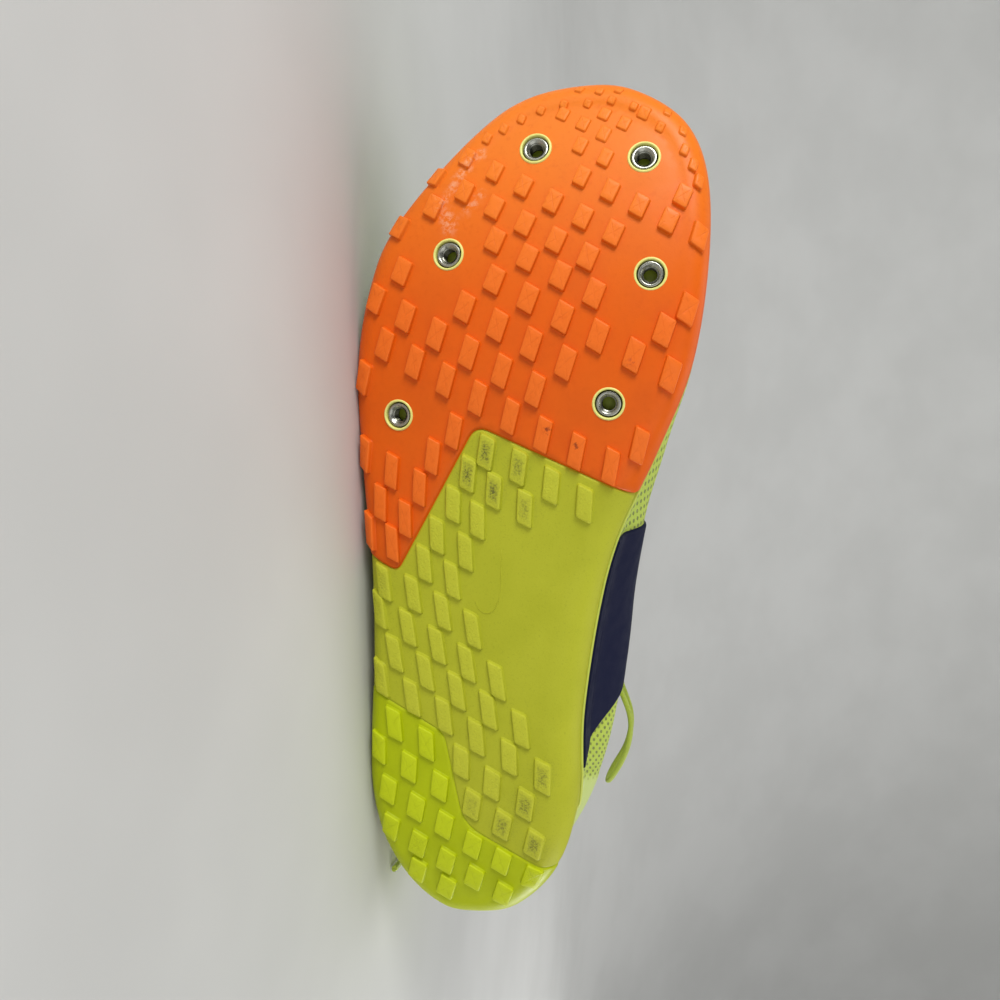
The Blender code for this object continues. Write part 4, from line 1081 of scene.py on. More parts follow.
@dataclass(frozen=True)
class RubberFinish:
    """Moulded outsole rubber: painted highlight on the lug tops, painted sheen towards the toe, painted shade
    along the lug creases, thin grime, and a dry film where it is scuffed.
    """

    name: str
    ground: Colour
    # Lug-top colour of the painted highlight.
    lug: Colour
    deep: Colour
    # Colour of the painted sheen towards the toe.
    toe: Colour
    roughness: float = 0.42
    coat: float = 0.05
    grain: float = 0.035

    def cross(self, shade: Shade) -> Socket:
        """Faint broken crease lines from corner to corner on the lugs, used as painted shade and as a shallow
        groove.

        Args:
            shade: material to add to.

        Returns:
            Socket from 0 to 1.
        """
        a, b = shade.weave()
        off = shade.sum("SUBTRACT", shade.sum("ABSOLUTE", a), shade.sum("ABSOLUTE", b))
        wander = shade.sum("MULTIPLY", shade.sum("SUBTRACT", shade.noise(1.3, 2.0), 0.5), 0.35)
        line = shade.step(shade.sum("ABSOLUTE", shade.sum("ADD", off, wander)), 0.13, 0.02)
        return shade.sum("MULTIPLY", line, shade.step(shade.noise(2.6, 2.0), 0.38, 0.56))

    def material(self, last: Last, nicks: Sequence[Mark], stains: Sequence[Mark]) -> Paint:
        """Builds the material.

        Args:
            last: where the shoe lies.
            nicks: dark cuts in plan.
            stains: dull reddish spots in plan.

        Returns:
            The material.
        """
        shade = Shade(self.name)
        cloud = shade.noise(16.0, 4.0)
        colour = shade.blend(shade.step(cloud, 0.42, 0.72, 0.0, 0.42), self.ground, self.deep)
        # Painted highlight: lug tops and their top edges lighten towards the lug colour.
        lug = shade.painted("lug")
        colour = shade.blend(shade.step(lug, 0.25, 0.95), colour, self.lug)
        # Painted sheen: lighter and yellower towards the toe.
        along = shade.node("ShaderNodeSeparateXYZ", {0: shade.place()}).outputs[0]
        colour = shade.blend(shade.step(along, -62.0, -138.0, 0.0, 0.65), colour, self.toe)
        mottle = shade.step(shade.noise(1.6, 3.0), 0.5, 0.75, 0.0, 0.22)
        colour = shade.blend(mottle, colour, self.deep)
        # Painted shade along the crease lines on the lug tops.
        cross = shade.sum("MULTIPLY", shade.step(lug, 0.96, 1.0), self.cross(shade))
        colour = shade.blend(shade.sum("MULTIPLY", cross, 0.2), colour, self.deep)
        speck = shade.step(shade.noise(0.4, 2.0, 0.7), 0.4, 0.7)
        grime = shade.sum("MULTIPLY", shade.painted("grime"), speck)
        colour = shade.blend(grime, colour, tuple(0.4 * c for c in self.deep))
        torn = shade.step(shade.noise(1.7, 5.0, 0.72), 0.42, 0.6)
        film = shade.sum("MULTIPLY", shade.sum("MULTIPLY", shade.painted("film"), torn), 0.38)
        colour = shade.blend(film, colour, (0.88, 0.62, 0.42))
        if nicks:
            colour = shade.blend(shade.spots(nicks, 0.3, last), colour, (0.16, 0.018, 0.008))
        if stains:
            colour = shade.blend(shade.spots(stains, 0.3, last), colour, (0.42, 0.045, 0.02))
        rough = shade.sum("ADD", shade.step(cloud, 0.3, 0.7, -0.06, 0.10), self.roughness)
        rough = shade.sum("SUBTRACT", rough, shade.sum("MULTIPLY", film, 0.2))
        relief = shade.bump(shade.noise(0.45, 3.0, 0.6), self.grain)
        relief = shade.bump(cross, -0.04, relief)
        shade.set(Base_Color=colour, Roughness=rough, Normal=relief, Coat_Weight=self.coat,
                  Coat_Roughness=0.25, IOR=1.45, Specular_IOR_Level=0.22)
        return shade.material


# Colours: ground, lug top with painted highlight, deep tone, and toe with painted sheen; the heel's toe
# colour equals its ground.
FOREFOOT_RUBBER = RubberFinish("forefoot_rubber", (0.76, 0.116, 0.003), (0.86, 0.160, 0.014),
                               (0.64, 0.088, 0.002), (0.90, 0.255, 0.020))
HEEL_RUBBER = RubberFinish("heel_rubber", (0.45, 0.52, 0.002), (0.54, 0.62, 0.008), (0.37, 0.43, 0.001),
                           (0.45, 0.52, 0.002), 0.45, 0.03)


@dataclass(frozen=True)
class FoamFinish:
    """Moulded midsole foam, dull, with fine skin, painted highlight on the lug tops and speckled grime in the
    tread.
    """

    name: str
    ground: Colour
    bright: Colour
    deep: Colour

    def material(self) -> Paint:
        """Builds the material.

        Returns:
            The material.
        """
        shade = Shade(self.name)
        cloud = shade.noise(22.0, 4.0)
        colour = shade.blend(shade.step(cloud, 0.38, 0.72, 0.0, 0.5), self.ground, self.deep)
        # Painted highlight on the lug tops and their top edges.
        colour = shade.blend(shade.step(shade.painted("lug"), 0.3, 1.0, 0.0, 0.55), colour, self.bright)
        dust = shade.step(shade.noise(0.6, 2.0, 0.75), 0.57, 0.7, 0.0, 0.3)
        colour = shade.blend(dust, colour, tuple(0.62 * c for c in self.deep))
        speck = shade.step(shade.noise(0.6, 3.0, 0.7), 0.4, 0.64, 0.3, 1.0)
        u, v = shade.weave()
        rim = shade.sum("MAXIMUM", shade.sum("ABSOLUTE", u), shade.sum("ABSOLUTE", v))
        speck = shade.sum("MULTIPLY", speck, shade.step(rim, 0.95, 0.2, 0.12, 0.85))
        grime = shade.sum("MULTIPLY", shade.painted("grime"), speck)
        colour = shade.blend(grime, colour, (0.055, 0.054, 0.022))
        relief = shade.bump(shade.noise(0.5, 3.0, 0.65), 0.045)
        relief = shade.bump(shade.noise(5.0, 3.0), 0.10, relief)
        sand = shade.sum("MULTIPLY", shade.noise(0.7, 2.0, 0.6), shade.step(shade.painted("lug"), 0.5, 1.0))
        relief = shade.bump(sand, 0.22, relief)
        shade.set(Base_Color=colour, Roughness=shade.step(cloud, 0.3, 0.7, 0.5, 0.64), Normal=relief,
                  IOR=1.45, Specular_IOR_Level=0.3)
        return shade.material


@dataclass(frozen=True)
class MeshFinish:
    """Open sports mesh in a slanting lattice of small holes, with smooth bonded parts."""

    name: str
    thread: Colour
    hole: Colour
    film: Colour
    heel: Colour
    across: float = 1.7
    along: float = 2.3

    def material(self) -> Paint:
        """Builds the material.

        Returns:
            The material.
        """
        shade = Shade(self.name)
        u, v = shade.weave()
        turned = shade.sum("ADD", u, shade.sum("MULTIPLY", v, 0.45))
        a = shade.sum("SINE", shade.sum("MULTIPLY", turned, math.pi / self.across))
        b = shade.sum("SINE", shade.sum("MULTIPLY", v, math.pi / self.along))
        lattice = shade.sum("MULTIPLY", a, b)
        yarn = shade.sum("SINE", shade.sum("MULTIPLY", shade.sum("ADD", u, v), 2 * math.pi / 0.42))
        plain = shade.sum("MAXIMUM", shade.painted("stay"), shade.painted("heel"))
        open_part = shade.sum("SUBTRACT", 1.0, plain)
        hole = shade.sum("MULTIPLY", shade.step(lattice, 0.28, 0.62), open_part)
        cloud = shade.step(shade.noise(18.0, 3.0), 0.35, 0.7, 0.0, 0.3)
        colour = shade.blend(cloud, self.thread, tuple(0.8 * c for c in self.thread))
        colour = shade.blend(shade.sum("MULTIPLY", shade.step(yarn, -0.6, 0.9, 0.0, 0.28), open_part), colour,
                             tuple(1.25 * c for c in self.thread))
        colour = shade.blend(shade.painted("stay"), colour, self.film)
        colour = shade.blend(shade.painted("heel"), colour, self.heel)
        colour = shade.blend(hole, colour, self.hole)
        height = shade.sum("SUBTRACT", shade.sum("MULTIPLY", yarn, 0.12), hole)
        relief = shade.bump(shade.sum("MULTIPLY", height, open_part), 0.35)
        relief = shade.bump(shade.noise(0.8, 3.0), 0.05, relief)
        shade.set(Base_Color=colour, Roughness=shade.step(plain, 0.0, 1.0, 0.82, 0.5), Normal=relief,
                  Sheen_Weight=0.15, Sheen_Roughness=0.5)
        return shade.material


@dataclass(frozen=True)
class ClothFinish:
    """Close cloth: lining, sock liner or lace, as a fine weave."""

    name: str
    thread: Colour
    dark: Colour
    across: float
    along: float
    slant: float
    roughness: float = 0.85
    relief: float = 0.16

    def material(self) -> Paint:
        """Builds the material.

        Returns:
            The material.
        """
        shade = Shade(self.name)
        u, v = shade.weave()
        a = shade.sum("ADD", u, shade.sum("MULTIPLY", v, self.slant))
        b = shade.sum("SUBTRACT", v, shade.sum("MULTIPLY", u, self.slant))
        a = shade.sum("SINE", shade.sum("MULTIPLY", a, 2 * math.pi / self.across))
        b = shade.sum("SINE", shade.sum("MULTIPLY", b, 2 * math.pi / self.along))
        weave = shade.sum("MULTIPLY", a, b)
        cloud = shade.step(shade.noise(9.0, 3.0), 0.35, 0.7, 0.0, 0.35)
        colour = shade.blend(shade.step(weave, 0.2, -0.9, 0.0, 0.55), self.thread, self.dark)
        colour = shade.blend(cloud, colour, tuple(0.75 * c for c in self.thread))
        relief = shade.bump(weave, self.relief)
        relief = shade.bump(shade.noise(0.5, 3.0, 0.7), 0.06, relief)
        shade.set(Base_Color=colour, Roughness=self.roughness, Normal=relief, Sheen_Weight=0.2,
                  Sheen_Roughness=0.5)
        return shade.material


@dataclass(frozen=True)
class FilmFinish:
    """Smooth bonded film or plastic with fine rubbing."""

    name: str
    colour: Colour
    worn: Colour
    roughness: float
    coat: float = 0.0
    specular: float = 0.5

    def material(self) -> Paint:
        """Builds the material.

        Returns:
            The material.
        """
        shade = Shade(self.name)
        cloud = shade.noise(6.0, 4.0)
        rub = shade.step(shade.noise(1.2, 5.0, 0.7), 0.52, 0.72, 0.0, 0.35)
        colour = shade.blend(rub, self.colour, self.worn)
        relief = shade.bump(shade.noise(0.6, 3.0), 0.03)
        low = self.roughness - 0.07
        shade.set(Base_Color=colour, Roughness=shade.step(cloud, 0.3, 0.7, low, low + 0.16), Normal=relief,
                  Coat_Weight=self.coat, Coat_Roughness=0.2, Specular_IOR_Level=self.specular)
        return shade.material


@dataclass(frozen=True)
class SteelFinish:
    """Turned and plated steel with tool marks round the axis of each seat, darkened down the bore by painted
    shade.
    """

    name: str
    colour: Colour = (0.40, 0.40, 0.35)
    roughness: float = 0.24

    def material(self) -> Paint:
        """Builds the material.

        Returns:
            The material.
        """
        shade = Shade(self.name)
        tarnish = shade.step(shade.noise(1.4, 4.0, 0.7), 0.5, 0.72, 0.0, 0.5)
        colour = shade.blend(tarnish, self.colour, (0.30, 0.30, 0.24))
        # Painted shade: the steel darkens with depth down the bore.
        colour = shade.blend(shade.step(shade.painted("deep"), 0.05, 1.6), colour, (0.05, 0.05, 0.035))
        marks = shade.noise(0.25, 2.0)
        shade.set(Base_Color=colour, Roughness=shade.step(marks, 0.3, 0.7, self.roughness - 0.06,
                                                          self.roughness + 0.12),
                  Metallic=1.0, Normal=shade.bump(marks, 0.012))
        return shade.material


class Scatter:
    """Geometry Nodes tree that sets one small piece on marked points, turned to an axis and a direction."""

    def __init__(self, name: str) -> None:
        """Builds the tree.

        Args:
            name: name of the tree.
        """
        self.tree = bpy.data.node_groups.new(name, "GeometryNodeTree")
        side = self.tree.interface
        side.new_socket("Points", in_out="INPUT", socket_type="NodeSocketGeometry")
        self.single = side.new_socket("Single piece", in_out="INPUT", socket_type="NodeSocketObject")
        self.size = side.new_socket("Size", in_out="INPUT", socket_type="NodeSocketFloat")
        self.finish = side.new_socket("Finish", in_out="INPUT", socket_type="NodeSocketMaterial")
        side.new_socket("Pieces", in_out="OUTPUT", socket_type="NodeSocketGeometry")
        nodes = self.tree.nodes
        links = self.tree.links
        start = nodes.new("NodeGroupInput")
        end = nodes.new("NodeGroupOutput")
        single = nodes.new("GeometryNodeObjectInfo")
        links.new(start.outputs["Single piece"], single.inputs["Object"])
        turn = None
        for name_of, axis, pivot in (("axis", "Z", "AUTO"), ("along", "X", "Z")):
            mark = nodes.new("GeometryNodeInputNamedAttribute")
            mark.data_type = "FLOAT_VECTOR"
            mark.inputs["Name"].default_value = name_of
            align = nodes.new("FunctionNodeAlignRotationToVector")
            align.axis = axis
            align.pivot_axis = pivot
            links.new(mark.outputs["Attribute"], align.inputs["Vector"])
            if turn is not None:
                links.new(turn, align.inputs["Rotation"])
            turn = align.outputs["Rotation"]
        put = nodes.new("GeometryNodeInstanceOnPoints")
        links.new(start.outputs["Points"], put.inputs["Points"])
        links.new(single.outputs["Geometry"], put.inputs["Instance"])
        links.new(turn, put.inputs["Rotation"])
        links.new(start.outputs["Size"], put.inputs["Scale"])
        real = nodes.new("GeometryNodeRealizeInstances")
        links.new(put.outputs["Instances"], real.inputs["Geometry"])
        paint = nodes.new("GeometryNodeSetMaterial")
        links.new(real.outputs["Geometry"], paint.inputs["Geometry"])
        links.new(start.outputs["Finish"], paint.inputs["Material"])
        links.new(paint.outputs["Geometry"], end.inputs["Pieces"])

    def spread(self, name: str, places: Array, axes: Array, along: Array, single: Mesh,
               paint: Paint, sharp: float) -> Thing:
        """Sets one piece on every place.

        Args:
            name: name of the piece made.
            places: points in the scene, in metres.
            axes: direction of each piece's own z.
            along: direction of each piece's own x.
            single: mesh of one piece, in metres.
            paint: material of all of them.
            sharp: edges that bend more than this many degrees stay sharp.

        Returns:
            The plain object.
        """
        carrier = bpy.data.meshes.new(name)
        carrier.from_pydata([Vector(p) for p in places], [], [])
        for key, rows in (("axis", axes), ("along", along)):
            layer = carrier.attributes.new(key, "FLOAT_VECTOR", "POINT")
            layer.data.foreach_set("vector", np.asarray(rows, np.float32).ravel())
        seed = linked(name + "_single", single)
        thing = linked(name, carrier)
        step = thing.modifiers.new("spread", "NODES")
        step.node_group = self.tree
        step[self.single.identifier] = seed
        step[self.size.identifier] = 1.0
        step[self.finish.identifier] = paint
        baked(thing)
        bpy.data.objects.remove(seed)
        bpy.data.meshes.remove(single)
        tidied(thing.data, sharp)
        return thing


def turned(name: str, profile: Sequence[tuple[float, float]], sides: int) -> Mesh:
    """Turned piece round its own z, in metres.

    Args:
        name: name of the mesh.
        profile: closed rows of radius and height in millimetres.
        sides: steps round the axis.

    Returns:
        The mesh.
    """
    angles = np.arange(sides) * 2 * math.pi / sides
    verts = []
    for radius, height in profile:
        verts += [(radius * math.cos(a) * MM, radius * math.sin(a) * MM, height * MM) for a in angles]
    mesh = bpy.data.meshes.new(name)
    mesh.from_pydata(verts, [], quads(len(profile), sides, True, True))
    mesh.uv_layers.new(name="weave")
    # Depth below the top of the profile, which the steel finish turns into painted shade down the bore.
    deep = mesh.attributes.new("deep", "FLOAT", "POINT")
    deep.data.foreach_set("value", np.repeat([-h for _, h in profile], sides).astype(np.float32))
    return tidied(mesh, 40.0)


def tube(shape: Shape, path: Array, wide: float | Array, thick: float | Array, sides: int = 12,
         first: Array | None = None) -> None:
    """Adds an oval tube along a path, closed at both ends.

    Args:
        shape: shape to add to.
        path: points of the centre line.
        wide: full width, one number or one for each point.
        thick: full thickness, likewise.
        sides: points round the tube.
        first: direction of the width at the start.
    """
    path = np.asarray(path, float)
    ahead = unit(np.gradient(path, axis=0))
    wide = np.broadcast_to(np.asarray(wide, float), len(path))
    thick = np.broadcast_to(np.asarray(thick, float), len(path))
    side = np.array((0.31, 0.2, 0.93)) if first is None else np.asarray(first, float)
    run = run_along(path)
    angles = np.arange(sides) * 2 * math.pi / sides
    rows = []
    for k, point in enumerate(path):
        side = unit(side - ahead[k] * (side @ ahead[k]))
        over = np.cross(ahead[k], side)
        ring = 0.5 * (wide[k] * np.cos(angles)[:, None] * side + thick[k] * np.sin(angles)[:, None] * over)
        rows.append(point + ring)
    girth = math.pi * 0.5 * float(wide.mean() + thick.mean())
    uv = np.zeros((len(path), sides + 1, 2))
    uv[..., 0] = np.linspace(0.0, girth, sides + 1)[None]
    uv[..., 1] = run[:, None]
    start = shape.grid(np.array(rows), wrap=True, uv=uv)
    for row, middle in ((0, path[0]), (len(path) - 1, path[-1])):
        hub = shape.add(middle[None])
        for c in range(sides):
            shape.face((start + row * sides + c, start + row * sides + (c + 1) % sides, hub))


def capsule(name: str, length: float, radius: float) -> Mesh:
    """Small round-ended stitch along its own x, in metres, of a few dozen faces.

    Args:
        name: name of the mesh.
        length: full length in millimetres.
        radius: radius in millimetres.

    Returns:
        The mesh.
    """
    rows = [(-0.5, 0.0), (-0.42, 0.75), (-0.25, 1.0), (0.25, 1.0), (0.42, 0.75), (0.5, 0.0)]
    verts = []
    for at, share in rows:
        for angle in (k * math.pi / 3 for k in range(6)):
            wide = share * radius
            verts.append((at * length * MM, wide * math.cos(angle) * MM, wide * math.sin(angle) * MM))
    mesh = bpy.data.meshes.new(name)
    mesh.from_pydata(verts, [], quads(len(rows), 6, True))
    mesh.uv_layers.new(name="weave")
    return tidied(mesh, 60.0)


@dataclass
class Underside:
    """Underside of the sole as one net of triangles, with the borders of the rubber pieces as lines in it."""

    last: Last
    half: int = 130
    pitch: float = 2.1
    line_step: float = 0.45
    seat_hole: float = 4.3
    seat_pit: float = 3.65
    plate_lift: float = 0.38
    pod_lift: float = 0.12
    plate_groove: float = 0.5
    pod_groove: float = 0.32
    rubber_bed: float = 0.95
    seat_core: float = 1.8
    seat_bore: float = 7.5
    border_rows: tuple[float, ...] = (-0.9, -0.5, -0.22, 0.22, 0.5, 0.9)
    edge_rows: int = 10
    batch: int = 400

    def __post_init__(self) -> None:
        """Builds the net, its zones and its search tree."""
        self.fine = self.last.spots(900)
        self.fine_edge = self.last.sole(self.fine)
        self.fine_way = self.last.inward(self.fine)
        ahead = np.roll(self.fine_edge[:, :2], -1, axis=0) - self.fine_edge[:, :2]
        gain = (np.roll(self.fine, -1) - self.fine) % len(SOLE)
        self.fine_rate = gain / np.linalg.norm(ahead, axis=1)
        spots = self.last.spots(self.half)
        edge = self.last.sole(spots)
        self.tread_line = edge[:, :2] + edge[:, 2:3] * self.last.inward(spots)
        self.plate_line = rounded(PLATE_BORDER)
        self.pod_line = rounded(POD_BORDER)
        self.weave_net(spots)
        self.read_zones()

    def side(self, spots: Array, turn: Array) -> tuple[Array, Array]:
        """Points on the rounded lower edge, and the same points rolled out flat.

        Args:
            spots: decimal sole rows.
            turn: 0 at the tread to 1 at the widest line.

        Returns:
            Points in space and points in the flat.
        """
        edge = self.last.sole(spots)
        way = self.last.inward(spots)
        angle = np.broadcast_to(np.asarray(turn, float), spots.shape) * math.pi / 2
        tread = edge[:, :2] + edge[:, 2:3] * way
        xy = edge[:, :2] + (edge[:, 2] * (1 - np.sin(angle)))[:, None] * way
        z = self.last.base_z(tread[:, 0], tread[:, 1]) + edge[:, 3] * (1 - np.cos(angle))
        flat = tread - (angle * (edge[:, 2] + edge[:, 3]) / 2)[:, None] * way
        return np.column_stack([xy, z]), flat

    def nearest(self, plan: Array) -> tuple[Array, Array, Array]:
        """Sole row, depth inside the sole edge and round of the edge for plan points.

        Args:
            plan: plan points.

        Returns:
            Three arrays, with one value for each point.
        """
        spot = np.zeros(len(plan))
        deep = np.zeros(len(plan))
        wide = np.zeros(len(plan))
        for k in range(0, len(plan), self.batch):
            some = slice(k, k + self.batch)
            part = plan[some]
            away = part[:, None, :] - self.fine_edge[None, :, :2]
            pick = np.argmin(np.sum(away**2, axis=2), axis=1)
            off = part - self.fine_edge[pick, :2]
            way = self.fine_way[pick]
            along = off[:, 1] * way[:, 0] - off[:, 0] * way[:, 1]
            spot[some] = self.fine[pick] + along * self.fine_rate[pick]
            deep[some] = np.sum(off * way, axis=1)
            wide[some] = self.fine_edge[pick, 2]
        return spot, deep, wide

    def locate(self, plan: Array) -> tuple[Array, Array, Array]:
        """Points of the underside under plan points.

        Args:
            plan: plan points.

        Returns:
            Points in space, points in the flat, and whether each lies on the sole.
        """
        tread = within(self.tread_line, plan)
        space = np.column_stack([plan, self.last.base_z(plan[:, 0], plan[:, 1])])
        flat = plan.copy()
        ok = tread.copy()
        rest = np.flatnonzero(~tread)
        if len(rest):
            spot, deep, wide = self.nearest(plan[rest])
            turn = np.arcsin(np.clip(1 - deep / wide, 0.0, 1.0)) / (math.pi / 2)
            space[rest], flat[rest] = self.side(spot, turn)
            ok[rest] = deep > 0.02
        return space, flat, ok

    def chains(self, corners: Sequence[Corner]) -> list[Array]:
        """Stretches of a border that lie on the sole, in plan, with a last point on its very edge.

        Args:
            corners: corners of the border.

        Returns:
            One chain for each stretch.
        """
        line = rounded(corners)
        line = stepped(closed(line), self.line_step)
        ok = self.locate(line)[2]
        runs = []
        run: list[Array] = []
        for k in range(len(line)):
            if ok[k]:
                if not run and k > 0:
                    run.append(self.crossing(line[k], line[k - 1]))
                run.append(line[k])
            elif run:
                run.append(self.crossing(line[k - 1], line[k]))
                runs.append(np.array(run))
                run = []
        return runs

    def crossing(self, on: Array, off: Array) -> Array:
        """Plan point between two others that lies on the sole edge.

        Args:
            on: plan point on the sole.
            off: plan point beyond its edge.

        Returns:
            The point.
        """
        for _ in range(14):
            middle = (on + off) / 2
            deep = self.nearest(middle[None])[1][0]
            if deep > 0.0:
                on = middle
            else:
                off = middle
        return off

    def weave_net(self, spots: Array) -> None:
        """Collects the points of the net: borders, seats, rounded edge and tread.

        Args:
            spots: decimal sole rows of its columns on the edge.
        """
        space: list[Array] = []
        flat: list[Array] = []
        edges: list[tuple[int, int]] = []

        def keep(points: Array, rolled: Array, chain: bool, loop: bool = False) -> None:
            """Keeps points, and joins them where they are a chain or a loop.

            Args:
                points: points in space.
                rolled: the same points in the flat.
                chain: joins each to the next.
                loop: joins the last to the first.
            """
            start = sum(len(p) for p in flat)
            space.append(points)
            flat.append(rolled)
            count = len(points)
            if chain:
                edges.extend((start + k, start + k + 1) for k in range(count - 1))
            if loop:
                edges.append((start + count - 1, start))

        ends = []
        for corners in (PLATE_BORDER, POD_BORDER):
            for run in self.chains(corners):
                rows = self.nearest(run[[0, -1]])[0] % len(SOLE)
                ends.extend(rows)
                points, rolled, _ = self.locate(run[1:-1])
                tips, tips_flat = self.side(rows, 1.0)
                keep(np.concatenate([tips[:1], points, tips[1:]]),
                     np.concatenate([tips_flat[:1], rolled, tips_flat[1:]]), True)
            for grow in self.border_rows:
                line = rounded(corners, grow)
                points, rolled, ok = self.locate(stepped(closed(line), self.line_step))
                keep(points[ok], rolled[ok], False)
        angles = np.arange(24) * math.pi / 12
        for x, y in SEATS:
            for radius in (self.seat_hole, self.seat_pit, self.seat_core):
                ring = np.column_stack([x + radius * np.cos(angles), y + radius * np.sin(angles)])
                points, rolled, _ = self.locate(ring)
                keep(points, rolled, True, True)
        lines = KDTree(sum(len(p) for p in flat))
        for k, p in enumerate(np.concatenate(flat)):
            lines.insert((p[0], p[1], 0.0), k)
        lines.balance()

        def clear(rolled: Array, room: float) -> Array:
            """Whether points lie clear of the lines by a distance."""
            return np.array([lines.find((p[0], p[1], 0.0))[2] > room for p in rolled], bool)

        rim = np.sort(np.unique(np.concatenate([spots, np.array(ends)])))
        rim = rim[np.diff(np.concatenate([rim, [rim[0] + len(SOLE)]])) > 1e-4]
        points, rolled = self.side(rim, 1.0)
        self.rim_spots = rim
        rim_start = sum(len(p) for p in flat)
        keep(points, rolled, True, True)
        for turn in np.arange(self.edge_rows) / self.edge_rows:
            points, rolled = self.side(spots, turn)
            free = clear(rolled, 0.5)
            keep(points[free], rolled[free], False)
        grid = self.tread_grid()
        grid = grid[clear(grid, 0.8)]
        keep(np.column_stack([grid, self.last.base_z(grid[:, 0], grid[:, 1])]), grid, False)
        self.join(np.concatenate(space), np.concatenate(flat), edges, range(rim_start, rim_start + len(rim)))

    def tread_grid(self) -> Array:
        """Even grid of plan points on the tread, clear of its outline.

        Returns:
            Plan points.
        """
        low = self.tread_line.min(axis=0)
        high = self.tread_line.max(axis=0)
        step_y = self.pitch * math.sqrt(3) / 2
        grid = []
        for r, y in enumerate(np.arange(low[1], high[1], step_y)):
            xs = np.arange(low[0] + (r % 2) * self.pitch / 2, high[0], self.pitch)
            grid.append(np.column_stack([xs, np.full(len(xs), y)]))
        grid = np.concatenate(grid)
        grid = grid[within(self.tread_line, grid)]
        return grid[line_distance(closed(self.tread_line), grid) > 0.9]

    def join(self, space: Array, flat: Array, edges: list[tuple[int, int]], rim: range) -> None:
        """Joins points into triangles, in the flat, and keeps their places in space.

        Args:
            space: points in space.
            flat: the same points in the flat.
            edges: pairs of points that stay joined.
            rim: numbers of the points on the widest line, in order.
        """
        found = geometry.delaunay_2d_cdt([Vector(p) for p in flat], edges, [], 0, 1e-5, True)
        verts, faces, sources = found[0], found[2], found[3]
        net_flat = np.array([(v.x, v.y) for v in verts])
        self.points = np.zeros((len(verts), 3))
        known = {}
        for k, source in enumerate(sources):
            if source:
                self.points[k] = space[source[0]]
                known.update((s, k) for s in source)
            else:
                pick = np.argmin(np.sum((flat - net_flat[k]) ** 2, axis=1))
                self.points[k] = space[pick]
        self.rim = [known[k] for k in rim]
        faces = np.array([f for f in faces if len(f) == 3])
        self.faces = faces[within(flat[rim.start:rim.stop], net_flat[faces].mean(axis=1))]

    def read_zones(self) -> None:
        """Normals, zones, border distances, lifts and the search tree of the dressed surface."""
        p = self.points
        a, b, c = (p[self.faces[:, k]] for k in range(3))
        flat_normals = np.cross(b - a, c - a)
        flip = np.sum(flat_normals[:, 2]) > 0
        if flip:
            self.faces = self.faces[:, ::-1]
            flat_normals = -flat_normals
        normals = np.zeros_like(p)
        for k in range(3):
            np.add.at(normals, self.faces[:, k], flat_normals)
        self.normals = unit(normals)
        middle = p[self.faces].mean(axis=1)[:, :2]
        self.zone = np.zeros(len(self.faces), int)
        self.zone[within(self.plate_line, middle)] = Zone.PLATE.value
        self.zone[within(self.pod_line, middle)] = Zone.POD.value
        self.plate_far = line_distance(closed(self.plate_line), p[:, :2])
        self.pod_far = line_distance(closed(self.pod_line), p[:, :2])
        self.on_plate = within(self.plate_line, p[:, :2])
        self.on_pod = within(self.pod_line, p[:, :2])
        self.seat_far = self.seat_distance(p[:, :2])
        self.seat_face = self.seat_distance(middle) < self.seat_hole
        deep = self.plate_lift + self.plate_groove
        self.plate_rise = -self.plate_groove + deep * ease(self.plate_far, 0.0, 0.75)
        self.pod_rise = -self.pod_groove + (self.pod_lift + self.pod_groove) * ease(self.pod_far, 0.0, 0.6)
        foam = -self.plate_groove * (1 - ease(self.plate_far, 0.0, 0.55))
        foam = foam - self.pod_groove * (1 - ease(self.pod_far, 0.0, 0.5))
        rubber = (self.on_plate & (self.plate_far > 0.05)) | (self.on_pod & (self.pod_far > 0.05))
        self.foam_rise = np.where(rubber, -self.rubber_bed, foam)
        self.foam_rise = np.where(self.seat_far < self.seat_pit + 0.1, -self.seat_bore, self.foam_rise)
        top = np.where(self.on_plate, self.plate_rise, np.where(self.on_pod, self.pod_rise, foam))
        dressed = p + self.normals * top[:, None]
        faces = [tuple(f) for f in self.faces.tolist()]
        self.tree = BVHTree.FromPolygons([Vector(v) for v in dressed], faces)

    def seat_distance(self, plan: Array) -> Array:
        """Distance of plan points from the nearest seat."""
        return np.min(np.linalg.norm(plan[:, None] - np.array(SEATS)[None], axis=2), axis=1)

    def drop(self, x: float, y: float) -> tuple[Array, Array] | None:
        """Point and outward normal of the dressed underside at a plan point.

        Args:
            x: plan place along the shoe.
            y: plan place across the shoe.

        Returns:
            Both, or nothing beside the sole.
        """
        hit, normal, _, _ = self.tree.ray_cast(Vector((x, y, -100.0)), Vector((0, 0, 1)))
        if hit is None:
            return None
        normal = np.array(normal)
        return np.array(hit), normal if normal[2] < 0 else -normal

    def zone_at(self, x: float, y: float) -> Zone:
        """Zone of a plan point.

        Args:
            x: plan place along the shoe.
            y: plan place across the shoe.

        Returns:
            The zone.
        """
        spot = np.array([[x, y]])
        if within(self.plate_line, spot)[0]:
            return Zone.PLATE
        return Zone.POD if within(self.pod_line, spot)[0] else Zone.FOAM

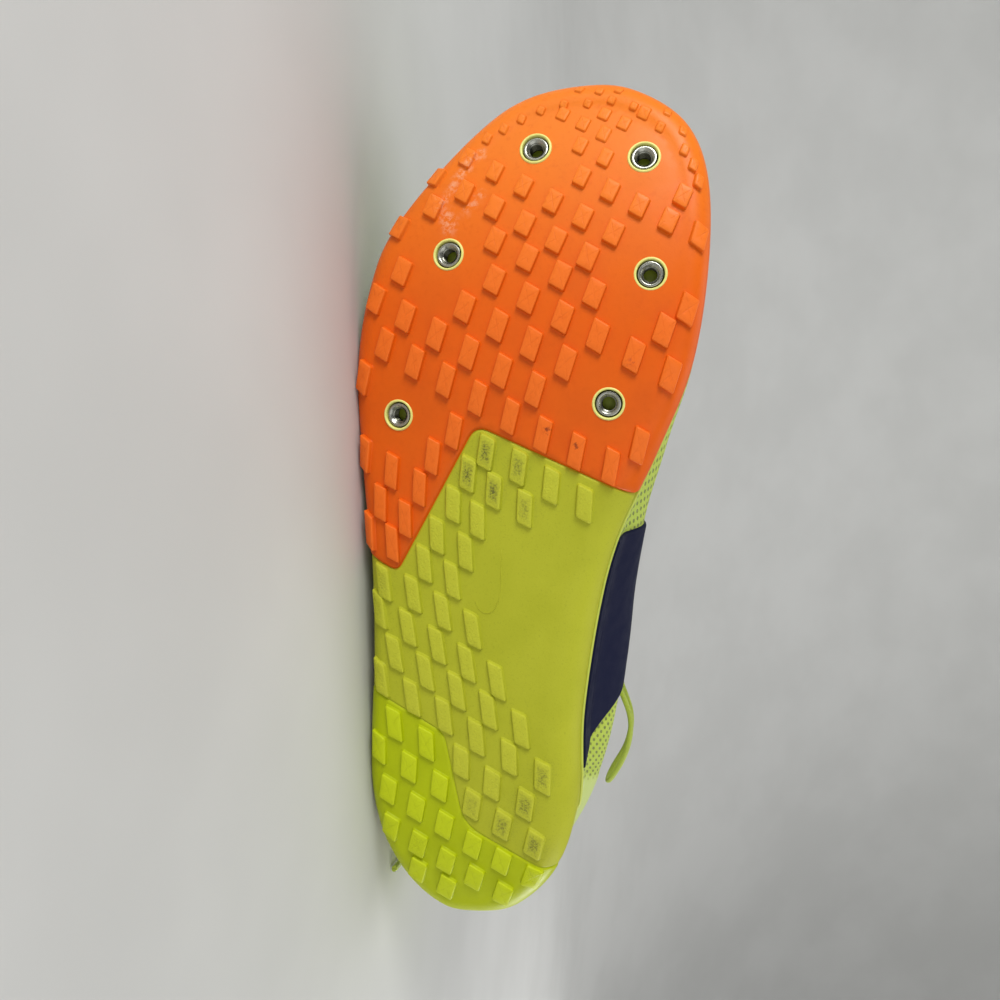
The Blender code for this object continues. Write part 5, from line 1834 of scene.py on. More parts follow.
    def skin(self, shape: Shape, zone: Zone, rise: Array, thick: float, values: Values) -> None:
        """Adds a closed skin over one zone, with the seats left open.

        Args:
            shape: shape to add to.
            zone: zone to cover.
            rise: height of the skin above the net at every point.
            thick: thickness inwards.
            values: painted numbers at every point of the net.
        """
        faces = self.faces[(self.zone == zone.value) & ~self.seat_face]
        used = np.unique(faces)
        number = np.full(len(self.points), -1)
        number[used] = np.arange(len(used))
        faces = number[faces]
        top = self.points[used] + self.normals[used] * rise[used, None]
        low = self.points[used] - self.normals[used] * thick
        picked = {key: rows[used] for key, rows in values.items()}
        start = shape.patch(top, faces, picked)
        under = shape.patch(low, faces[:, ::-1], picked)
        once: dict[tuple[int, int], tuple[int, int]] = {}
        for face in faces:
            for k in range(3):
                a, b = int(face[k]), int(face[(k + 1) % 3])
                if (b, a) in once:
                    del once[(b, a)]
                else:
                    once[(a, b)] = (a, b)
        for a, b in once.values():
            shape.face((start + a, under + a, under + b, start + b))


@dataclass
class LugField:
    """Lugs of the tread: slanting rows of four-sided blocks that stand on the underside."""

    floor: Underside
    slant: float = -0.42
    rim_size: float = 0.68
    dirt: tuple[float, ...] = (0.3, 0.3, 0.2, 0.2, 0.25, 0.4, 0.95, 1.0)
    sizes: dict[Zone, LugSize] = field(default_factory=lambda: {
        Zone.FOAM: LugSize(1.15, 1.16, 0.96, 1.0), Zone.PLATE: LugSize(1.5, 0.98, 0.96, 0.5),
        Zone.POD: LugSize(1.25, 1.12, 0.9, 0.7)})

    def places(self) -> list[tuple[float, float, float]]:
        """Plan centres of all lugs, with the share of their full size.

        Returns:
            Three numbers for each lug.
        """
        found = [(x, y, self.rim_size) for x, y in RIM_LUGS]
        for row in LUG_ROWS:
            for k in range(row.first, row.last + 1):
                if k not in row.missing:
                    found.append((row.x + self.slant * row.pitch * k, row.y + row.pitch * k, 1.0))
        return found

    def form(self, x: float) -> tuple[Array, Array]:
        """Short and long side of a lug at a station, in plan.

        Args:
            x: place along the shoe.

        Returns:
            Both sides as plan vectors.
        """
        knots = [f.x for f in LUG_FORMS]
        at = np.array([np.clip(x, knots[0], knots[-1])])
        row = hermite(knots, [tuple(f)[1:] for f in LUG_FORMS], at)[0]
        return row[:2], row[2:]

    def profile(self, zone: Zone, x: float) -> list[tuple[float, float, float]]:
        """Rows of outward growth, height and share of painted highlight, from the root to the top.

        Args:
            zone: zone that carries the lug.
            x: place along the shoe: lugs are lower at the toe.

        Returns:
            Six rows.
        """
        h = self.sizes[zone].high * (1 - 0.6 * float(ease(x, 246.0, 272.0)))
        if zone is Zone.FOAM:
            return [(0.6, -0.3, 0.0), (0.2, 0.08, 0.0), (0.02, 0.4, 0.1), (-0.06, h - 0.42, 0.5),
                    (-0.26, h - 0.12, 1.0), (-0.7, h, 0.95)]
        return [(0.5, -0.3, 0.0), (0.12, 0.08, 0.0), (0.0, 0.35, 0.15), (-0.04, h - 0.32, 0.7),
                (-0.14, h - 0.09, 1.0), (-0.38, h, 1.0)]

    def ring(self, half_a: float, half_b: float, radius: float) -> Array:
        """Sixteen points of a four-sided ring with rounded corners.

        Args:
            half_a: half of its short side.
            half_b: half of its long side.
            radius: rounding of its corners.

        Returns:
            Points round its middle.
        """
        radius = max(0.12, min(radius, 0.9 * half_a, 0.9 * half_b))
        points = []
        for k, (sa, sb) in enumerate(((1, 1), (-1, 1), (-1, -1), (1, -1))):
            for s in (0.0, 1.0 / 3.0, 2.0 / 3.0, 1.0):
                angle = (k + s) * math.pi / 2
                points.append((sa * (half_a - radius) + radius * math.cos(angle),
                               sb * (half_b - radius) + radius * math.sin(angle)))
        return np.array(points)

    def block(self, x: float, y: float, zone: Zone, grow: float) -> tuple[Array, ...] | None:
        """One lug that stands on the underside.

        Args:
            x: plan place along the shoe.
            y: plan place across the shoe.
            zone: zone that carries it.
            grow: share of its full size.

        Returns:
            Rings of points, their share of painted highlight and their places on the top, or nothing without
            room.
        """
        spot = self.floor.drop(x, y)
        if spot is None:
            return None
        centre, normal = spot
        short, long = self.form(x)
        for a, b in ((-0.4, -0.4), (0.4, -0.4), (0.4, 0.4), (-0.4, 0.4)):
            near = self.floor.drop(x + a * short[0] + b * long[0], y + a * short[1] + b * long[1])
            if near is not None:
                normal = normal + 0.6 * near[1]
        normal = unit(normal)
        one = np.array([*short, 0.0])
        two = np.array([*long, 0.0])
        one = unit(one - normal * (one @ normal))
        two = unit(two - normal * (two @ normal))
        size = self.sizes[zone]
        half_a = grow * size.short * np.linalg.norm(short) / 2
        half_b = grow * size.long * np.linalg.norm(long) / 2
        rows = []
        highlight_rows = []
        marks = []
        # Each ring carries its share of painted highlight, from none at the root to full on the top edge and
        # face.
        for out, high, highlight_share in self.profile(zone, x):
            ring = self.ring(half_a + out, half_b + out, size.corner + max(out, -0.3))
            marks.append(ring / np.array([half_a, half_b]))
            spots = centre + ring[:, :1] * one + ring[:, 1:] * two
            line = []
            for p in spots:
                hit = self.floor.tree.ray_cast(Vector(p + normal * 9.0), Vector(-normal), 22.0)[0]
                if hit is None:
                    return None
                line.append(np.array(hit) + normal * high)
            rows.append(line)
            highlight_rows.append(np.full(len(ring), highlight_share))
        top = np.array(rows[-1])
        middle = top.mean(axis=0)
        rim = marks[-1]
        for share in (0.5, 0.0):
            rows.append(middle + share * (top - middle))
            highlight_rows.append(np.ones(len(top)))
            marks.append(share * rim)
        return np.array(rows), np.array(highlight_rows), np.array(marks)

    def room(self, x: float, y: float, zone: Zone, grow: float) -> tuple[float, float] | None:
        """Nearest place where a lug clears the borders of its zone.

        Args:
            x: plan place along the shoe.
            y: plan place across the shoe.
            zone: zone that carries it.
            grow: share of its full size.

        Returns:
            Plan place, or nothing where it can't stand.
        """
        short, long = self.form(x)
        a = (0.5 * grow * self.sizes[zone].short + 0.05) * short
        b = (0.5 * grow * self.sizes[zone].long + 0.02) * long
        corners = np.array([a + b, a - b, -a - b, -a + b, a, -a, b, -b])
        for far in (0.0, 0.5, 1.0, 1.5, 2.0):
            for angle in np.arange(8) * math.pi / 4:
                spot = np.array([x + far * math.cos(angle), y + far * math.sin(angle)])
                on_plate = within(self.floor.plate_line, corners + spot)
                on_pod = within(self.floor.pod_line, corners + spot)
                inside = {Zone.PLATE: on_plate, Zone.POD: on_pod, Zone.FOAM: ~(on_plate | on_pod)}[zone]
                if inside.all():
                    return float(spot[0]), float(spot[1])
                if far == 0.0:
                    break
        return None

    def stand(self, shape: Shape, zone: Zone, grime: Sequence[Mark]) -> int:
        """Adds all lugs of one zone to a shape.

        Args:
            shape: shape to add to.
            zone: zone to fill.
            grime: dirty places in plan.

        Returns:
            Number of lugs.
        """
        count = 0
        for x, y, full in self.places():
            if self.floor.zone_at(x, y) is not zone:
                continue
            found = None
            for grow in (1.0, 0.9, 0.8, 0.65, 0.5):
                spot = self.room(x, y, zone, grow * full)
                found = None if spot is None else self.block(*spot, zone, grow * full)
                if found is not None:
                    break
            if found is None:
                continue
            rows, highlight_rows, marks = found
            dirt = 0.0
            for mark in grime:
                if math.hypot(mark.x - x, mark.y - y) < mark.radius:
                    dirt = max(dirt, mark.weight)
            dirty = dirt * np.array(self.dirt)[:, None] * np.ones(rows.shape[1])
            uv = np.concatenate([marks, marks[:, :1]], axis=1)
            # The lug values carry the painted highlight of each ring, the grime values its dirt.
            start = shape.grid(rows, wrap=True, uv=uv, values={"lug": highlight_rows, "grime": dirty})
            shape.face([start + k for k in range(rows.shape[1])][::-1])
            count += 1
        return count


@dataclass
class Midsole:
    """Foam midsole with its own lugs, mould line and side wall."""

    last: Last
    floor: Underside
    lugs: LugField
    bed_step: float = 3.4
    wall_groove: float = 0.3
    groove_at: float = 0.38
    wall_rows: tuple[float, ...] = (0.06, 0.2, 0.32, 0.38, 0.44, 0.6, 0.8, 0.94, 1.0)
    # Foam colours: ground, lug top with painted highlight, deep tone.
    finish: FoamFinish = FoamFinish("midsole_foam", (0.46, 0.475, 0.022), (0.58, 0.59, 0.04),
                                    (0.39, 0.41, 0.015))

    def build(self) -> Thing:
        """Builds the piece.

        Returns:
            The piece.
        """
        shape = Shape()
        floor = self.floor
        points = floor.points + floor.normals * floor.foam_rise[:, None]
        grime = np.zeros(len(points))
        for mark in FOAM_GRIME:
            away = np.hypot(points[:, 0] - mark.x, points[:, 1] - mark.y)
            fade = 1 - ease(away, 0.3 * mark.radius, 1.3 * mark.radius)
            grime = np.maximum(grime, 0.3 * mark.weight * fade)
        shape.patch(points, floor.faces, {"lug": np.zeros(len(points)), "grime": grime})
        self.wall(shape, points[floor.rim])
        self.mould_line(shape)
        count = self.lugs.stand(shape, Zone.FOAM, FOAM_GRIME)
        LOG.info("foam lugs: %d", count)
        thing = shape.made("midsole_foam", self.last, [self.finish.material()], 50.0)
        return settled(thing, Slot.FOAM, "midsole")

    def wall(self, shape: Shape, rim: Array) -> None:
        """Adds the side wall and the closed bed above it.

        Args:
            shape: shape to add to.
            rim: points of the widest line, in order.
        """
        spots = self.floor.rim_spots
        rows = [rim]
        for part in self.wall_rows:
            sunk = self.wall_groove * math.exp(-((part - self.groove_at) / 0.05) ** 2)
            rows.append(self.last.side_wall(spots, part, -sunk - 0.5 * ease(part, 0.9, 1.0)))
        inner = self.last.bite(spots, self.bed_step)
        rows.append(inner)
        start = shape.grid(np.array(rows), wrap=True)
        count = len(rim)
        bed = start + (len(rows) - 1) * count
        ring = [Vector(p[:2]) for p in inner]
        found = geometry.delaunay_2d_cdt(ring, [], [list(range(count))], 1, 1e-6, True)
        for face in found[2]:
            ids = [found[3][i][0] for i in face if found[3][i]]
            if within(inner[:, :2], inner[ids, :2].mean(axis=0)[None])[0]:
                shape.face([bed + i for i in ids])

    def mould_line(self, shape: Shape) -> None:
        """Adds the fine hooked ridge left by the mould in the waist, lightened by painted highlight.

        Args:
            shape: shape to add to.
        """
        path = []
        for x, y in smoothed(np.array(MOULD_LINE), 44):
            spot = self.floor.drop(x, y)
            if spot is not None:
                path.append(spot[0] + spot[1] * 0.02)
        size = 0.5 * np.sin(np.linspace(0.15, math.pi - 0.15, len(path))) ** 0.5
        tube(shape, np.array(path), size, 0.4 * size, 8)
        # Painted highlight: the ridge takes the full lug highlight so that it reads as catching the light.
        for part in shape.values["lug"][-3:]:
            part[:] = 1.0


@dataclass
class RubberPiece:
    """Rubber piece of the outsole with its lugs, worn where it is scuffed."""

    last: Last
    floor: Underside
    lugs: LugField
    name: str
    node: str
    slot: Slot
    zone: Zone
    rise: Array
    finish: RubberFinish
    grime: Sequence[Mark] = ()
    nicks: Sequence[Mark] = ()
    stains: Sequence[Mark] = ()
    thick: float = 1.4
    film_reach: tuple[float, ...] = (1.5, 1.3, 2.8)

    def build(self) -> Thing:
        """Builds the piece.

        Returns:
            The piece.
        """
        shape = Shape()
        zero = np.zeros(len(self.floor.points))
        self.floor.skin(shape, self.zone, self.rise, self.thick, {"lug": zero, "grime": zero})
        LOG.info("%s lugs: %d", self.name, self.lugs.stand(shape, self.zone, self.grime))
        self.paint_film(shape)
        paint = self.finish.material(self.last, self.nicks, self.stains)
        return settled(shape.made(self.name, self.last, [paint], 50.0), self.slot, self.node)

    def paint_film(self, shape: Shape) -> None:
        """Paints the dry film on the piece and its lugs.

        Args:
            shape: shape of the piece, lugs included.
        """
        plan = np.concatenate(shape.points)[:, :2]
        film = np.zeros(len(plan))
        for line, reach in zip(FILM_LINES, self.film_reach):
            film = np.maximum(film, 1 - ease(line_distance(np.array(line), plan), 0.3 * reach, reach))
        shape.values["film"] = [film]


@dataclass
class SpikeSeats:
    """Six seats for screw-in studs: pale ring, steel insert with a thread, and the floor of its bore."""

    last: Last
    record: dict
    sides: int = 40
    middle_deep: float = 1.45
    thread_pitch: float = 0.62
    thread_turns: int = 6
    pale: FilmFinish = FilmFinish("seat_ring_plastic", (0.80, 0.78, 0.22), (0.62, 0.60, 0.15), 0.4, 0.1)
    steel: SteelFinish = SteelFinish("seat_steel")
    floor: FilmFinish = FilmFinish("seat_floor_plastic", (0.30, 0.36, 0.02), (0.16, 0.19, 0.02), 0.5)

    def build(self, scatter: Scatter) -> list[Thing]:
        """Builds the three kinds of pieces on all seats.

        Args:
            scatter: tree that sets them.

        Returns:
            Rings, inserts and floors.
        """
        mounts = sorted(self.record["mounts"], key=lambda m: m["name"])
        nodes = [m["name"][-1] for m in mounts]
        axes = unit(np.array([m["axis"] for m in mounts]))
        middles = np.array([np.mean(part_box("seat_collar_" + n), axis=0) for n in nodes])
        places = middles + axes * self.middle_deep * MM
        along = np.tile((0.0, 0.0, 1.0), (len(mounts), 1))
        ring = [(5.0, -1.4), (5.0, 0.25), (4.95, 0.55), (4.8, 0.8), (4.58, 0.9), (4.36, 0.86), (4.2, 0.7),
                (4.12, 0.4), (4.12, -2.2), (4.5, -2.2)]
        insert = [(3.45, -5.5), (3.45, -2.0), (3.72, -1.4), (3.72, 0.12), (3.64, 0.26), (3.5, 0.32),
                  (3.1, 0.32), (2.95, 0.24), (2.36, -0.42)]
        for k in range(self.thread_turns):
            deep = self.thread_pitch * k
            insert += [(2.34, -0.62 - deep), (2.08, -0.80 - deep), (2.08, -0.92 - deep)]
        insert += [(2.2, -4.5), (2.2, -5.5)]
        dish = [(2.3, -4.62), (1.5, -4.42), (0.7, -4.36), (0.0, -4.34), (0.0, -5.3), (2.3, -5.3)]
        pieces = []
        for name, profile, finish, slot, stem in (
                ("seat_rings", ring, self.pale, Slot.PALE, "seat_collar_"),
                ("seat_inserts", insert, self.steel, Slot.STEEL, "seat_insert_"),
                ("seat_floors", dish, self.floor, Slot.PALE, "")):
            single = turned(name, profile, self.sides)
            thing = scatter.spread(name, places, axes, along, single, finish.material(), 35.0)
            pieces.append(settled(thing, slot, *[stem + n for n in nodes if stem]))
        return pieces


@dataclass
class Upper:
    """Hollow mesh upper: bonded eyestay and heel, soft collar, eyelets, seams and piping."""

    last: Last
    half: int = 150
    levels: int = 64
    stay_t: float = 0.79
    stay_lift: float = 0.45
    heel_lift: float = 0.4
    collar_pad: float = 2.0
    lap_fill: float = 1.0
    eyelet_r: float = 2.0
    girth_level: int = 28
    throat_x: tuple[float, float] = (96.0, 112.0)
    collar_x: tuple[float, float] = (84.0, 106.0)
    heel_x: float = 62.0
    heel_slant: float = 0.42
    wave_high: float = 0.22
    crease_x: tuple[float, ...] = (203.0, 214.0, 226.0)
    crease_deep: float = 0.55
    crease_half: float = 3.2
    piping_r: float = 0.46
    seam_x: float = 104.0
    stitch_pitch: float = 2.3
    stitch_long: float = 1.75
    stitch_r: float = 0.27
    mesh: MeshFinish = MeshFinish("upper_mesh", (0.50, 0.63, 0.035), (0.20, 0.26, 0.016), (0.56, 0.68, 0.05),
                                  (0.52, 0.63, 0.13))
    lining: ClothFinish = ClothFinish("collar_lining", (0.50, 0.60, 0.08), (0.30, 0.38, 0.04), 0.8, 0.8, 0.4)
    piping: FilmFinish = FilmFinish("bite_piping", (0.56, 0.62, 0.09), (0.44, 0.49, 0.06), 0.6)
    seam: ClothFinish = ClothFinish("seam_thread", (0.55, 0.66, 0.10), (0.36, 0.44, 0.05), 0.3, 0.3, 0.8)

    def __post_init__(self) -> None:
        """Works out the outer and inner grids and the painted zones."""
        self.spots = self.last.spots(self.half)
        self.t = np.linspace(0.0, 1.0, self.levels) ** 0.92
        rows = []
        normals = []
        for t in self.t:
            rows.append(self.last.upper(self.spots, t))
            normals.append(self.last.upper_normal(self.spots, t))
        self.bare = np.array(rows)
        self.normal = np.array(normals)
        x, z = self.bare[..., 0], self.bare[..., 2]
        t = self.t[:, None] * np.ones_like(x)
        self.stay = ease(t, self.stay_t - 0.012, self.stay_t + 0.012) * ease(x, *self.throat_x)
        back = self.heel_x - self.heel_slant * (z - 12.0)
        self.heel = ease(back - x, -0.8, 0.8) * (1 - ease(t, 0.82, 0.86))
        collar = (1 - ease(x, *self.collar_x)) * ease(t, 0.72, 0.92)
        wave = self.wave_high * np.sin(x / 9.0 + z / 13.0) * np.sin(x / 15.0 - z / 7.0)
        wave = wave * ease(t, 0.05, 0.3) * (1 - self.stay)
        lean = 0.12 * (z - 40.0)
        flex = 0.0
        for c in self.crease_x:
            flex = flex + self.crease_deep * np.exp(-((x - c - lean) / self.crease_half) ** 2)
        wave = wave - flex * ease(x, 196.0, 204.0) * ease(t, 0.25, 0.5)
        self.rise = self.stay_lift * self.stay + self.heel_lift * self.heel + 0.8 * collar + wave
        self.rise = self.rise + self.lap_fill * self.last.lap(self.spots) * (1 - ease(t, 0.0, 0.075))
        self.pad = self.collar_pad * collar * (1 - ease(t, 0.97, 1.0) * 0.55)

    def outer(self) -> Array:
        """Outer grid."""
        return self.bare + self.normal * self.rise[..., None]

    def on(self, spots: Array, t: Array, lift: Array | float) -> Array:
        """Points over the dressed upper at any places.

        Args:
            spots: decimal sole rows.
            t: height shares.
            lift: distance above the dressed face.

        Returns:
            The points.
        """
        bare = self.last.upper(spots, t)
        rise = self.rise_at(spots, t)
        return bare + self.last.upper_normal(spots, t) * (rise + lift)[:, None]

    def rise_at(self, spots: Array, t: Array) -> Array:
        """Lift of the dressed face over the bare one, read from the grid.

        Args:
            spots: decimal sole rows.
            t: 0 at the sole to 1 at the topline.

        Returns:
            One distance for each pair.
        """
        row = np.interp(t, self.t, np.arange(self.levels))
        col = np.interp(np.asarray(spots) % len(SOLE), self.spots, np.arange(len(self.spots)))
        r = np.clip(row.astype(int), 0, self.levels - 2)
        c = np.clip(col.astype(int), 0, len(self.spots) - 2)
        a, b = row - r, col - c
        g = self.rise
        low = g[r, c] * (1 - b) + g[r, c + 1] * b
        high = g[r + 1, c] * (1 - b) + g[r + 1, c + 1] * b
        return low * (1 - a) + high * a

    def shell(self) -> Shape:
        """Closed grid of the wall: lap, outer face, rounded rim and inner face.

        Returns:
            The shape.
        """
        outer = self.outer()
        inner = self.bare - self.normal * (self.last.wall + self.pad)[..., None]
        inner[0, :, 2] = outer[0, :, 2]
        up = unit(outer[-1] - outer[-3])
        middle = (outer[-1] + inner[-1]) / 2
        half = np.linalg.norm(outer[-1] - inner[-1], axis=1)[:, None] / 2
        rim = []
        for angle in np.radians((25, 50, 75, 105, 130, 155)):
            rim.append(middle + (outer[-1] - middle) * math.cos(angle) + up * half * math.sin(angle))
        lap = np.array([self.last.lapped(self.spots, s) for s in (0.0, 0.25, 0.5, 0.75, 0.97)])
        stack = np.concatenate([lap, outer, np.array(rim), inner[::-1]])
        zeros = np.zeros((len(rim) + self.levels, len(self.spots)))
        low = [np.repeat(part[:1], len(lap), axis=0) for part in (self.stay, self.heel)]
        values = {"stay": np.concatenate([low[0], self.stay, zeros]),
                  "heel": np.concatenate([low[1], self.heel, zeros])}
        u = run_along(closed(outer[self.girth_level]))
        up_run = np.linalg.norm(np.diff(stack, axis=0), axis=2)
        v = np.concatenate([np.zeros((1, len(self.spots))), np.cumsum(up_run, axis=0)])
        v = np.concatenate([v, v[:, :1]], axis=1)
        uv = np.stack([np.broadcast_to(u, v.shape), v], axis=2)
        face_rows = len(lap) + self.levels - 1
        slots = [0] * face_rows + [1] * (len(stack) - face_rows)
        shape = Shape()
        shape.grid(stack, wrap=True, close=True, uv=uv, slots=slots, values=values)
        return shape

    def build(self, scatter: Scatter) -> list[Thing]:
        """Builds the upper and its trim.

        Args:
            scatter: tree that sets eyelets and stitches.

        Returns:
            All pieces.
        """
        paints = [self.mesh.material(), self.lining.material()]
        thing = self.shell().made("upper_shell", self.last, paints, 60.0)
        places, axes, along = self.eyelet_frames()
        cutter = linked("eyelet_punch", self.punch(places, axes))
        step = thing.modifiers.new("eyelets", "BOOLEAN")
        step.operation = "DIFFERENCE"
        step.solver = "EXACT"
        step.object = cutter
        baked(thing)
        bpy.data.objects.remove(cutter)
        pieces = [settled(thing, Slot.MESH, "upper")]
        ring = [(2.0, -1.9), (1.86, -0.3), (1.9, 0.2), (2.1, 0.42), (2.45, 0.46), (2.8, 0.36), (3.0, 0.12),
                (3.02, -0.3)]
        single = turned("eyelet_rings", ring, 24)
        rings = scatter.spread("eyelet_rings", places, axes, along, single, self.piping.material(), 60.0)
        pieces.append(settled(rings, Slot.MESH))
        pieces.append(settled(self.bite_piping(), Slot.MESH))
        pieces.append(settled(self.stitches(scatter), Slot.MESH))
        return pieces

    def eyelet_frames(self) -> tuple[Array, Array, Array]:
        """Places, axes and directions of the eyelets in the scene.

        Returns:
            Three arrays, with one row for each eyelet.
        """
        spots = np.array([s for pair in self.last.eyelets() for s in pair])
        t = np.full(len(spots), self.last.eyelet_t)
        points = self.on(spots, t, 0.0)
        axes = self.last.upper_normal(spots, t)
        along = self.last.upper(spots + 0.05, t) - points
        return self.last.world(points), self.last.way(axes), self.last.way(unit(along))

    def punch(self, places: Array, axes: Array) -> Mesh:
        """Cutters for all eyelets in one mesh.

        Args:
            places: middles of the eyelets, in metres.
            axes: their axes.

        Returns:
            The mesh.
        """
        bm = bmesh.new()
        for place, axis in zip(places, axes):
            lean = Vector(axis).to_track_quat("Z", "Y").to_matrix().to_4x4()
            where = Matrix.Translation(Vector(place - axis * 0.001)) @ lean
            bmesh.ops.create_cone(bm, cap_ends=True, segments=24, radius1=self.eyelet_r * MM,
                                  radius2=self.eyelet_r * MM, depth=0.009, matrix=where)
        mesh = bpy.data.meshes.new("eyelet_punch")
        bm.to_mesh(mesh)
        bm.free()
        return mesh

    def bite_piping(self) -> Thing:
        """Thin pale piping along the line where the upper meets the midsole.

        Returns:
            The object.
        """
        spots = self.last.spots(220)
        foot = self.last.lapped(spots, 0.0)
        out = -self.last.inward(spots)
        path = foot + np.column_stack([-0.15 * out, np.full(len(spots), 0.1)])
        rows = []
        for angle in np.arange(10) * 2 * math.pi / 10:
            rise = np.full(len(spots), self.piping_r * math.sin(angle))
            rows.append(path + np.column_stack([self.piping_r * math.cos(angle) * out, rise]))
        shape = Shape()
        shape.grid(np.array(rows), wrap=True, close=True)
        return shape.made("bite_piping", self.last, [self.piping.material()], 80.0)

    def stitches(self, scatter: Scatter) -> Thing:
        """Seams beside the eyestay and round the collar.

        Args:
            scatter: tree that sets them.

        Returns:
            The object.
        """
        medial = np.linspace(5, 15, 300)
        first = float(np.interp(self.seam_x, self.last.upper(medial, 0.8)[:, 0], medial))
        lateral = np.linspace(15, 25, 300)
        final = float(np.interp(-self.seam_x, -self.last.upper(lateral, 0.8)[:, 0], lateral))
        lines = [(first, final, self.stay_t + 0.035), (first, final, 0.965),
                 (final + 0.1, first + len(SOLE) - 0.1, 0.86)]
        places = []
        axes = []
        along = []
        for start, end, t in lines:
            spots = np.linspace(start, end, 3000)
            path = self.on(spots, np.full(len(spots), t), 0.02)
            run = run_along(path)
            at = np.arange(1.0, run[-1] - 1.0, self.stitch_pitch)
            row = points_at(path, at)
            spot = np.interp(at, run, spots)
            places.append(row)
            axes.append(self.last.upper_normal(spot, t))
            along.append(unit(np.gradient(row, axis=0)))
        single = capsule("seam_stitches", self.stitch_long, self.stitch_r)
        return scatter.spread("seam_stitches", self.last.world(np.concatenate(places)),
                              self.last.way(np.concatenate(axes)), self.last.way(np.concatenate(along)),
                              single, self.seam.material(), 70.0)


@dataclass
class SidePanel:
    """Plain bonded saddle panel on one side of the midfoot."""

    last: Last
    upper: Upper
    side: Side
    first: float
    final: float
    back_low: float
    back_high: float
    front_high: float
    front_low: float
    low: float = 5.0
    high: float = 95.0
    top_t: float = 0.77
    thick: float = 0.75
    edge_round: float = 0.9
    tall: float = 90.0
    finish: FilmFinish = FilmFinish("saddle_film", (0.007, 0.009, 0.032), (0.013, 0.015, 0.046), 0.55, 0.0,
                                    0.08)

    def level(self, spots: Array, t: float, lift: Array | float) -> Array:
        """Points over one level of the side.

        Args:
            spots: decimal sole rows.
            t: height share of the upper, below 0 on its lap.
            lift: distance above the surface.

        Returns:
            One point for each spot.
        """
        if t < 0:
            flat = self.last.lapped(spots, 1 + t)
            out = -self.last.inward(spots) * np.broadcast_to(lift, len(spots))[:, None]
            return flat + np.column_stack([out, np.zeros(len(spots))])
        return self.upper.on(spots, np.full(len(spots), t), lift)

    def edge_spot(self, t: float, low_x: float, high_x: float) -> float:
        """Sole row at which a level of the upper crosses a slanting edge.

        Args:
            t: height share of the level.
            low_x: place of the edge at its lower end.
            high_x: place of the edge at its upper end.

        Returns:
            The decimal sole row.
        """
        spots = np.linspace(self.first - 1.5, self.final + 1.5, 500)
        points = self.level(spots, t, 0.0)
        line = low_x + (high_x - low_x) * (points[:, 2] - self.low) / (self.high - self.low)
        off = points[:, 0] - line
        if self.side is Side.LATERAL:
            off = off[::-1]
            spots = spots[::-1]
        return float(np.interp(0.0, off, spots))

    def build(self, paint: Paint) -> Thing:
        """Builds the panel.

        Args:
            paint: its material.

        Returns:
            The piece.
        """
        ts = np.linspace(0.012, self.top_t, 46)
        if self.side is Side.MEDIAL:
            ts = np.concatenate([[-0.97, -0.9, -0.7, -0.45, -0.2, -0.03], ts])
        share = 0.5 - 0.5 * np.cos(np.linspace(0.0, math.pi, 41))
        tops = []
        lows = []
        uv = []
        for t in ts:
            start = self.edge_spot(t, self.back_low, self.back_high)
            end = self.edge_spot(t, self.front_low, self.front_high)
            spots = start + (end - start) * share
            bare = self.level(spots, t, 0.0)
            run = run_along(bare)
            rim = np.minimum(run, run[-1] - run)
            rim = np.minimum(rim, (ts[-1] - t) * self.tall + 0.01)
            bend = np.sqrt(np.clip(1 - (1 - np.clip(rim / self.edge_round, 0, 1)) ** 2, 0, 1))
            lift = 0.12 + (self.thick + 0.18) * bend
            tops.append(self.level(spots, t, lift))
            lows.append(self.level(spots, t, -0.25))
            uv.append(np.column_stack([run, np.full(len(run), t * self.tall)]))
        shape = Shape()
        top = shape.grid(np.array(tops), uv=np.array(uv))
        low = shape.grid(np.array(lows), uv=np.array(uv))
        rows, cols = len(ts), len(share)
        ring = list(range(cols)) + [r * cols + cols - 1 for r in range(1, rows)]
        ring += [(rows - 1) * cols + c for c in range(cols - 2, -1, -1)]
        ring += [r * cols for r in range(rows - 2, 0, -1)]
        for a, b in zip(ring, ring[1:] + ring[:1]):
            shape.face((top + a, top + b, low + b, low + a))
        name = "saddle_" + self.side.value
        return settled(shape.made(name + "_panel", self.last, [paint], 50.0), Slot.NAVY, name)


